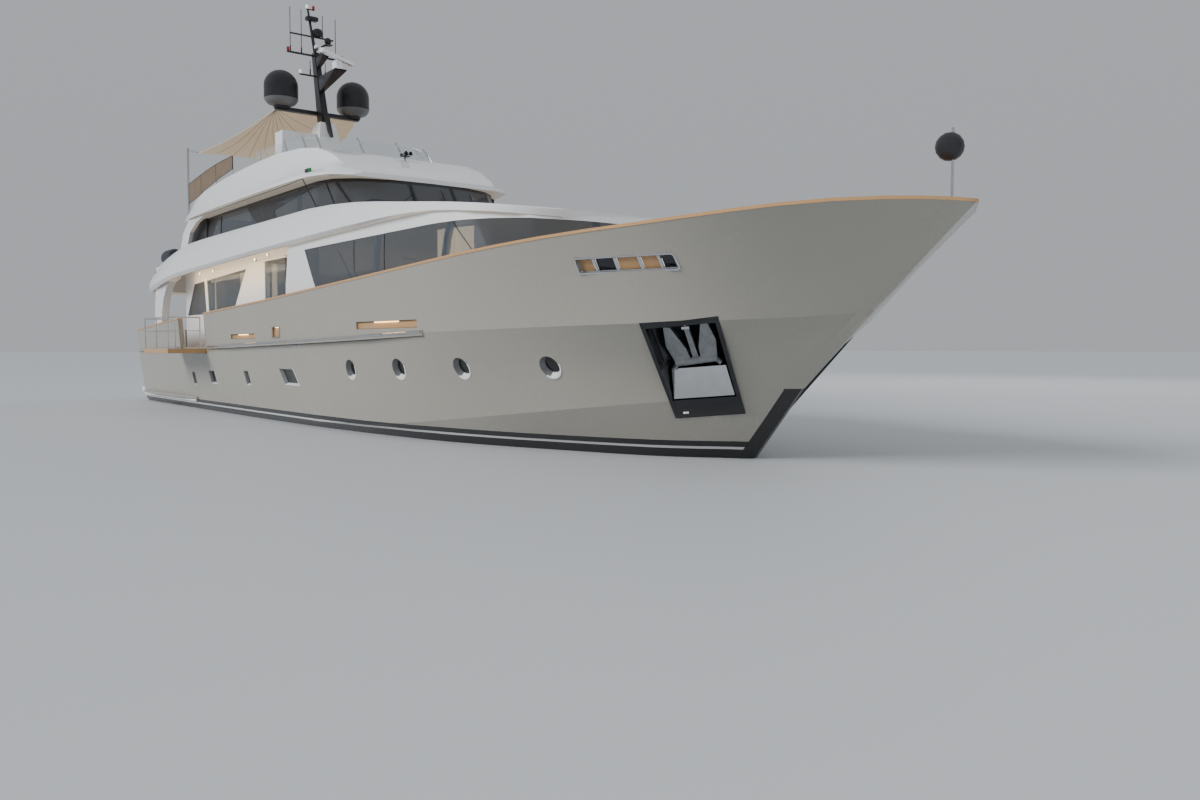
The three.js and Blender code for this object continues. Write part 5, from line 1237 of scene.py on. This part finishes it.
group("wipers", wipers, black)
print("joints, pillars and", len(WIPERS), "wipers")

# %% [markdown]
# Small warm spotlights shine down the saloon walls from under the overhang. A black line along the
# lower lip of the roof's brow is painted shadow of the narrow gap there.

# %% Spotlights and brow shadow line
SPOTLIGHTS = [(-10.34, 4.47), (-8.92, 4.48), (-4.91, 4.58), (-3.86, 4.64), (-1.6, 4.64)]
SPOT_PROFILE = [(0, 0), (0.05, 0), (0.055, 0.01), (0.055, 0.03), (0.045, 0.04), (0, 0.04)]
GLASS_PROFILE = [(0, 0.036), (0.042, 0.036), (0.042, 0.046), (0.03, 0.052), (0, 0.054)]
for side_name, side in SIDES.items():
    spots = [touch(deckhouse, x, side, z) for x, z in SPOTLIGHTS]
    rims = [lathe(SPOT_PROFILE, place, normal, 24) for place, normal in spots]
    group(f"spot_rims_{side_name}", rims, steel)
    lamps = [lathe(GLASS_PROFILE, place, normal, 24) for place, normal in spots]
    group(f"spot_glass_{side_name}", lamps, warm_lamp)
    # Painted shadow: a black tube along the brow's lower lip.
    shadow_line = [cast(sundeck, (x, side * 2.955, 6.1), (0, 0, 1))[0] + Vector((0, 0, 0.004))
              for x in spread(-11.2, -0.5, 24)]
    group(f"brow_shadow_line_{side_name}", [tube(shadow_line, 0.014)], black)
print(len(SPOTLIGHTS), "spotlights on each side")

# %% [markdown]
# Deck gear for working the ship: cleats are a bar on two feet, a low hoop stands on the cabin roof, a
# wheel stands at the helm, and the side lights sit in black screens on the roof's edge.

# %% Cleats, hoop, wheel and side lights
CLEATS = [(14.7, 0.75, 3.0), (12.9, 1.5, 3.0), (-12.9, 3.2, 2.0)]
WHEEL_PLACE = Vector((-0.4, 0, 5.72))
for side_name, side in SIDES.items():
    cleats = []
    for x, y, deck in CLEATS:
        cleats.append(tube([(x + end, side * y, deck + 0.09) for end in (-0.19, 0.19)], 0.02))
        for foot in (-0.07, 0.07):
            cleats.append(tube([(x + foot, side * y, deck), (x + foot, side * y, deck + 0.09)], 0.022))
    group(f"cleats_{side_name}", cleats, steel)
    corner = touch(sundeck, -1.2, side, 6.66)[0] - Vector((0, side * 0.03, 0))
    across = sorted((corner.y, corner.y + side * 0.09))
    screen_box = block((corner.x - 0.13, across[0], corner.z - 0.05),
                       (corner.x + 0.13, across[1], corner.z + 0.07), 0.01, 2)
    group(f"light_screen_{side_name}", [screen_box], black)
    lens_glass = lathe(LAMP_PROFILE, (corner.x + 0.135, corner.y + side * 0.045, corner.z - 0.05), steps=20)
    group(f"side_light_{side_name}", [lens_glass], {1: red_lens, -1: green_lens}[side])
roof = drop(deckhouse, 9.1, 0)[0]
hoop_corners = [(-0.17, -0.01), (-0.15, 0.09), (0.05, 0.09), (0.07, -0.01)]
group("roof_hoop", [tube([(9.1, y, roof.z + up) for y, up in hoop_corners], 0.014)], white)


def on_wheel(turn):
    return WHEEL_PLACE + Vector((0.1 * math.sin(turn), 0.26 * math.cos(turn), 0.24 * math.sin(turn)))


wheel = [tube([on_wheel(math.tau * step / 24) for step in range(24)], 0.016, closed=True),
         tube([WHEEL_PLACE, WHEEL_PLACE + Vector((0.2, 0, -0.06))], 0.022)]
for spoke in range(3):
    wheel.append(tube([WHEEL_PLACE, on_wheel(spoke * 2.094 + 0.52)], 0.009))
group("helm_wheel", wheel, steel)
print("deck gear placed")

# %% [markdown]
# The awning is one sheet, stretched from the mast's crossbar to the two aft poles. A stretched sheet
# gathers in shallow pleats that fan out from the corners where it is hauled tight. It starts as a grid
# whose corners are moved onto the curved surface, and gets a rope along its hem and lashings aft.

# %% Awning
AWNING_ALONG = [-11.8, -10.3, -8.7, -7.1305]
AWNING_HALF = [2.4, 2.04, 1.7, 1.36]
AWNING_EDGE = [8.8, 9.0, 9.28, 9.6]
AWNING_MIDDLE = [8.84, 8.92, 9.2, 9.6]
AWNING_SEAMS = [(0, 0), (0.12, 0), (0.24, 0), (0.36, 0), (0.5, 0), (0.66, 0), (0.84, 0), (1, 0.1), (1, 0.35),
                (1, 0.62)]
PLEAT = 0.02


def awning_place(across, along):
    x = AWNING_ALONG[0] + (AWNING_ALONG[-1] - AWNING_ALONG[0]) * along
    side = 2 * across - 1
    scallop = 1 - 0.045 * math.sin(math.pi * along)
    y = side * curve(AWNING_ALONG, AWNING_HALF, x) * scallop
    edge = curve(AWNING_ALONG, AWNING_EDGE, x)
    middle = curve(AWNING_ALONG, AWNING_MIDDLE, x)
    z = edge + (middle - edge) * (1 - side * side) - 0.004
    from_bar = math.hypot(x - AWNING_ALONG[-1], y + AWNING_HALF[-1])
    fan = math.atan2(y + AWNING_HALF[-1], AWNING_ALONG[-1] - x)
    fade = math.sin(math.pi * min(1.0, from_bar / 5.5)) * math.sin(math.pi * along) ** 0.5
    return x + 0.05 * math.sin(math.pi * across) * (1 - along), y, z + PLEAT * fade * math.sin(26 * fan)


def cloth_sheet(name, columns, rows, place, thickness=0.004):
    bpy.ops.mesh.primitive_grid_add(x_subdivisions=columns, y_subdivisions=rows, size=1)
    sheet = bpy.context.object
    for vert in sheet.data.vertices:
        vert.co = place(vert.co.x + 0.5, vert.co.y + 0.5)
    edit(sheet)
    turn_outward()
    area = sum(face.area for face in sheet.data.polygons)
    thicken(sheet, thickness)
    smooth(named(settle(sheet), name), 60)
    return sheet, area


def hem_of(place, steps, radius):
    ways = [k / steps for k in range(steps)]
    around = [(way, 0) for way in ways] + [(1, way) for way in ways]
    around += [(1 - way, 1) for way in ways] + [(0, 1 - way) for way in ways]
    return tube([place(*corner) for corner in around], radius, closed=True)


awning, awning_area = cloth_sheet("awning_sheet", 64, 64, awning_place)
paint(awning, awning_cloth, "yacht", ("awning",))
awning_hem = group("awning_hem", [hem_of(awning_place, 24, 0.009)], awning_cloth)
seams = []
for across, along in AWNING_SEAMS:
    seams.append(tube([awning_place(across * t, 1 + (along - 1) * t) for t in spread(0.02, 0.98, 13)], 0.007))
awning_seams = group("awning_seams", seams, mesh_cloth)
lashings = [tube([(-11.79, side * 2.39, 8.8), (-12.36, side * 2.6, high)], 0.006)
            for side in SIDES.values() for high in (8.98, 8.9)]
group("awning_lashings", lashings, mesh_cloth)
print("awning of", round(awning_area, 1), "square metres")

# %% [markdown]
# Brown wind-breaks of open mesh are laced between posts along the aft coaming. Each is a long narrow
# sheet with a hem, and the slight waves are what the lacing leaves in it.

# %% Wind-breaks
BREAK_ALONG = [-12.3387, -11.4, -10.35, -8.92, -7.6]
BREAK_LOW = [7.07, 7.18, 7.34, 7.51, 7.62]
BREAK_HIGH = [7.76, 7.85, 7.94, 8.02, 8.04]
BREAK_SEAMS = (-10.9, -9.3)
BREAK_POSTS = (-7.62, -9.3, -10.9)
POST_FOOT = [(0, -0.01), (0.04, -0.01), (0.04, 0.008), (0, 0.014)]
for side_name, side in SIDES.items():
    def break_place(along, up, side=side):
        x = BREAK_ALONG[0] + 0.01 + (BREAK_ALONG[-1] - BREAK_ALONG[0] - 0.01) * along
        low = curve(BREAK_ALONG, BREAK_LOW, x)
        high = curve(BREAK_ALONG, BREAK_HIGH, x)
        wave = 0.006 * math.sin(9 * math.pi * along) * math.sin(math.pi * up)
        return x, side * (2.62 + wave), low + (high - low) * up

    screen_sheet, area = cloth_sheet(f"windbreak_{side_name}", 90, 12, break_place)
    paint(screen_sheet, mesh_cloth, "yacht", (f"windbreak_cloth_{side_name}",))
    trims = [hem_of(break_place, 24, 0.011)]
    for x in BREAK_SEAMS:
        along = (x - BREAK_ALONG[0]) / (BREAK_ALONG[-1] - BREAK_ALONG[0])
        trims.append(tube([break_place(along, up) for up in spread(0, 1, 5)], 0.009))
    trim = group(f"windbreak_hem_{side_name}", trims, black)
    posts = []
    for x in BREAK_POSTS:
        foot, normal = drop(sundeck, x, side * 2.6)
        ends = (foot.z - 0.01, curve(BREAK_ALONG, BREAK_HIGH, x))
        posts.append(tube([(x, side * 2.59, end) for end in ends], 0.015))
        posts.append(lathe(POST_FOOT, (x, side * 2.59, foot.z + 0.004), normal, 20))
    group(f"windbreak_posts_{side_name}", posts, steel)
print("wind-breaks of", round(area, 2), "square metres")

# %% [markdown]
# Curtains hang inside the saloon, the side doors and the wide cabin. A drawn curtain stands in deep
# regular waves, so its flat cloth is wider than the space that it fills.

# %% Curtains
CURTAINS = [("saloon_aft", -9.95, -9.25, 3.14, 4.2, 2.69), ("saloon_fore", -6.75, -6.05, 3.14, 4.3, 2.69),
            ("door_aft", -3.95, -3.6, 2.1, 4.38, 2.69), ("door_fore", -2.85, -2.5, 2.1, 4.38, 2.69),
            ("cabin", 7.1, 8.15, 3.1, 4.3, 3.38)]
CURTAIN_WAVE = 0.022
for side_name, side in SIDES.items():
    for name, back, front, low, high, y in CURTAINS:
        def curtain_place(along, up, side=side, back=back, front=front, low=low, high=high, y=y):
            waves = round((front - back) / 0.12)
            lean = -0.2 * (along if name == "cabin" else 0)
            wave = CURTAIN_WAVE * math.sin(math.tau * waves * along) * (0.75 + 0.25 * (1 - up))
            return back + (front - back) * along, side * (y + lean + wave), low + (high - low) * up

        columns = round((front - back) / 0.012)
        curtain, area = cloth_sheet(f"curtain_{name}_{side_name}", columns, 6, curtain_place, 0.003)
        paint(curtain, curtain_cloth)
print(2 * len(CURTAINS), "curtains")

# %% [markdown]
# Cushions are blown up like the real ones are stuffed: a soft cloth shell with pressure inside swells
# between its edges. A rounded block is remeshed, simulated for twenty frames with no gravity, and held
# to a few centimetres of swelling. One of each kind is made and then copied along its seat. A piped
# seam runs round the top edge.

# %% Helpers for cushions
CUSHION_VOXEL = 0.032
SWELLING = 0.026
SWELL_FRAMES = 20


def swell(obj, floor_z):
    pick(obj)
    obj.data.remesh_voxel_size = CUSHION_VOXEL
    bpy.ops.object.voxel_remesh()
    start = [vert.co.copy() for vert in obj.data.vertices]
    bpy.ops.object.modifier_add(type="CLOTH")
    stuffing = obj.modifiers[-1]
    stuffing.settings.use_pressure = True
    stuffing.settings.uniform_pressure_force = 4
    stuffing.settings.effector_weights.gravity = 0
    stuffing.point_cache.frame_start = 1
    stuffing.point_cache.frame_end = SWELL_FRAMES
    for moment in range(1, SWELL_FRAMES + 1):
        bpy.context.scene.frame_set(moment)
    bpy.ops.object.modifier_apply(modifier=stuffing.name)
    bpy.context.scene.frame_set(1)
    for vert, place in zip(obj.data.vertices, start):
        moved = vert.co - place
        if moved.length > SWELLING:
            moved *= SWELLING / moved.length
        vert.co = place + moved
        vert.co.z = max(vert.co.z, floor_z)


def cushion(low, high):
    margin = 0.03
    shell = block((low[0] + margin, low[1] + margin, low[2]),
                  (high[0] - margin, high[1] - margin, high[2] - 0.026), 0.035, 4)
    swell(shell, low[2])
    modify(shell, "SUBSURF", levels=1, render_levels=1)
    smooth(shell, 80)
    return shell


def piping(low, high):
    inset = 0.025
    corners = [(low[0] + inset, low[1] + inset), (high[0] - inset, low[1] + inset),
               (high[0] - inset, high[1] - inset), (low[0] + inset, high[1] - inset)]
    return tube([(*point, high[2] - 0.05) for point in rounded_outline(corners, 0.06, 5)], 0.006, closed=True)


def row_of_cushions(name, low, high, count):
    width = (high[1] - low[1]) / count
    gap = 0.004
    first_low = (low[0], low[1] + gap, low[2])
    first_high = (high[0], low[1] + width - gap, high[2])
    pads = [cushion(first_low, first_high)]
    seams = [piping(first_low, first_high)]
    for number in range(1, count):
        for bag in (pads, seams):
            pick(bag[0])
            bpy.ops.object.duplicate()
            copy = bpy.context.object
            copy.location.y += width * number
            bag.append(settle(copy))
    for number, (pad, seam) in enumerate(zip(pads, seams)):
        paint(named(pad, f"{name}_{number}"), cushion_cloth)
        group(f"{name}_piping_{number}", [seam], cover_cloth)


print("cushion helpers ready")

# %% [markdown]
# Four seats: a sofa and a sunbed on the sundeck, a sofa on the aft deck and a pad on the foredeck. Each
# is a white moulded base with its row of cushions, and the sofas have a second row as a back.

# %% Seats
SEATS = [
    ("sundeck_sofa", [((-3.2, -1.7, 6.785), (-2.5, 1.7, 7.02)), ((-2.5, -1.6, 6.785), (-2.31, 1.6, 7.03))],
     [("seat", (-3.2, -1.7, 7.02), (-2.5, 1.7, 7.2), 3),
      ("back", (-2.5, -1.6, 7.03), (-2.305, 1.6, 7.4), 3)]),
    ("sundeck_sunbed", [((-11.6, -1.5, 6.785), (-9.4, 1.5, 7.0))],
     [("pad", (-11.58, -1.48, 7.0), (-9.42, 1.48, 7.2), 3)]),
    ("aft_sofa", [((-15.3, -1.7, 2.005), (-14.55, 1.7, 2.27)), ((-15.3, -1.7, 2.2), (-15.07, 1.7, 2.3))],
     [("seat", (-15.06, -1.7, 2.27), (-14.55, 1.7, 2.45), 3),
      ("back", (-15.29, -1.7, 2.3), (-15.06, 1.7, 2.6), 3)]),
    ("foredeck_sunpad", [((10.3, -1.4, 3.005), (11.6, 1.4, 3.2))],
     [("pad", (10.32, -1.38, 3.2), (11.58, 1.38, 3.4), 2)]),
]
for name, bases, rows in SEATS:
    parts = [block(low, high, 0.02) for low, high in bases]
    group(f"{name}_base", parts, white, replaces=(name,))
    for row, low, high, count in rows:
        row_of_cushions(f"{name}_{row}", low, high, count)
print(len(SEATS), "seats")

# %% [markdown]
# The liferaft is a canister in a grey canvas cover, strapped down on the starboard quarter of the upper
# deck. It is spun about its long axis, pressed flat where it stands, and given soft folds.

# %% Liferaft
RAFT_MIDDLE = Vector((-13.4, -2.95, 5.23))
RAFT_FLOOR = 4.954
STRAP_RADIUS = 0.288
RAFT_ON_EDGE = 5.06
RAFT_END = [(0.28, 0.41), (0.265, 0.455), (0.23, 0.485), (0.16, 0.5), (0, 0.5)]
raft_profile = [(radius, -along) for radius, along in reversed(RAFT_END)]
raft_profile += [(0.282 + 0.004 * math.cos(step * math.pi), -0.36 + 0.06 * step) for step in range(13)]
raft = lathe(raft_profile + RAFT_END, RAFT_MIDDLE, (1, 0, 0), 48)
for vert in raft.data.vertices:
    folds = 0.004 * math.sin(26 * vert.co.x + 3 * vert.co.z) * math.sin(14 * vert.co.y)
    vert.co.y += folds
    vert.co.z = max(RAFT_ON_EDGE if vert.co.y < -3.0 else RAFT_FLOOR, vert.co.z + folds)
cover = group("liferaft_cover", [raft], cover_cloth, 60, ("liferaft",))
straps = []
for x in (-13.7, -13.4, -13.1):
    around = []
    for turn in spread(math.pi * 1.1, math.pi * -0.1, 33):
        reach = Vector((0, STRAP_RADIUS * math.cos(turn), STRAP_RADIUS * math.sin(turn)))
        around.append(Vector((x, RAFT_MIDDLE.y, RAFT_MIDDLE.z)) + reach)
    straps.append(ribbon(around, (0.04, 0, 0), 0.004))
group("liferaft_straps", straps, black)
print("liferaft in its cover")
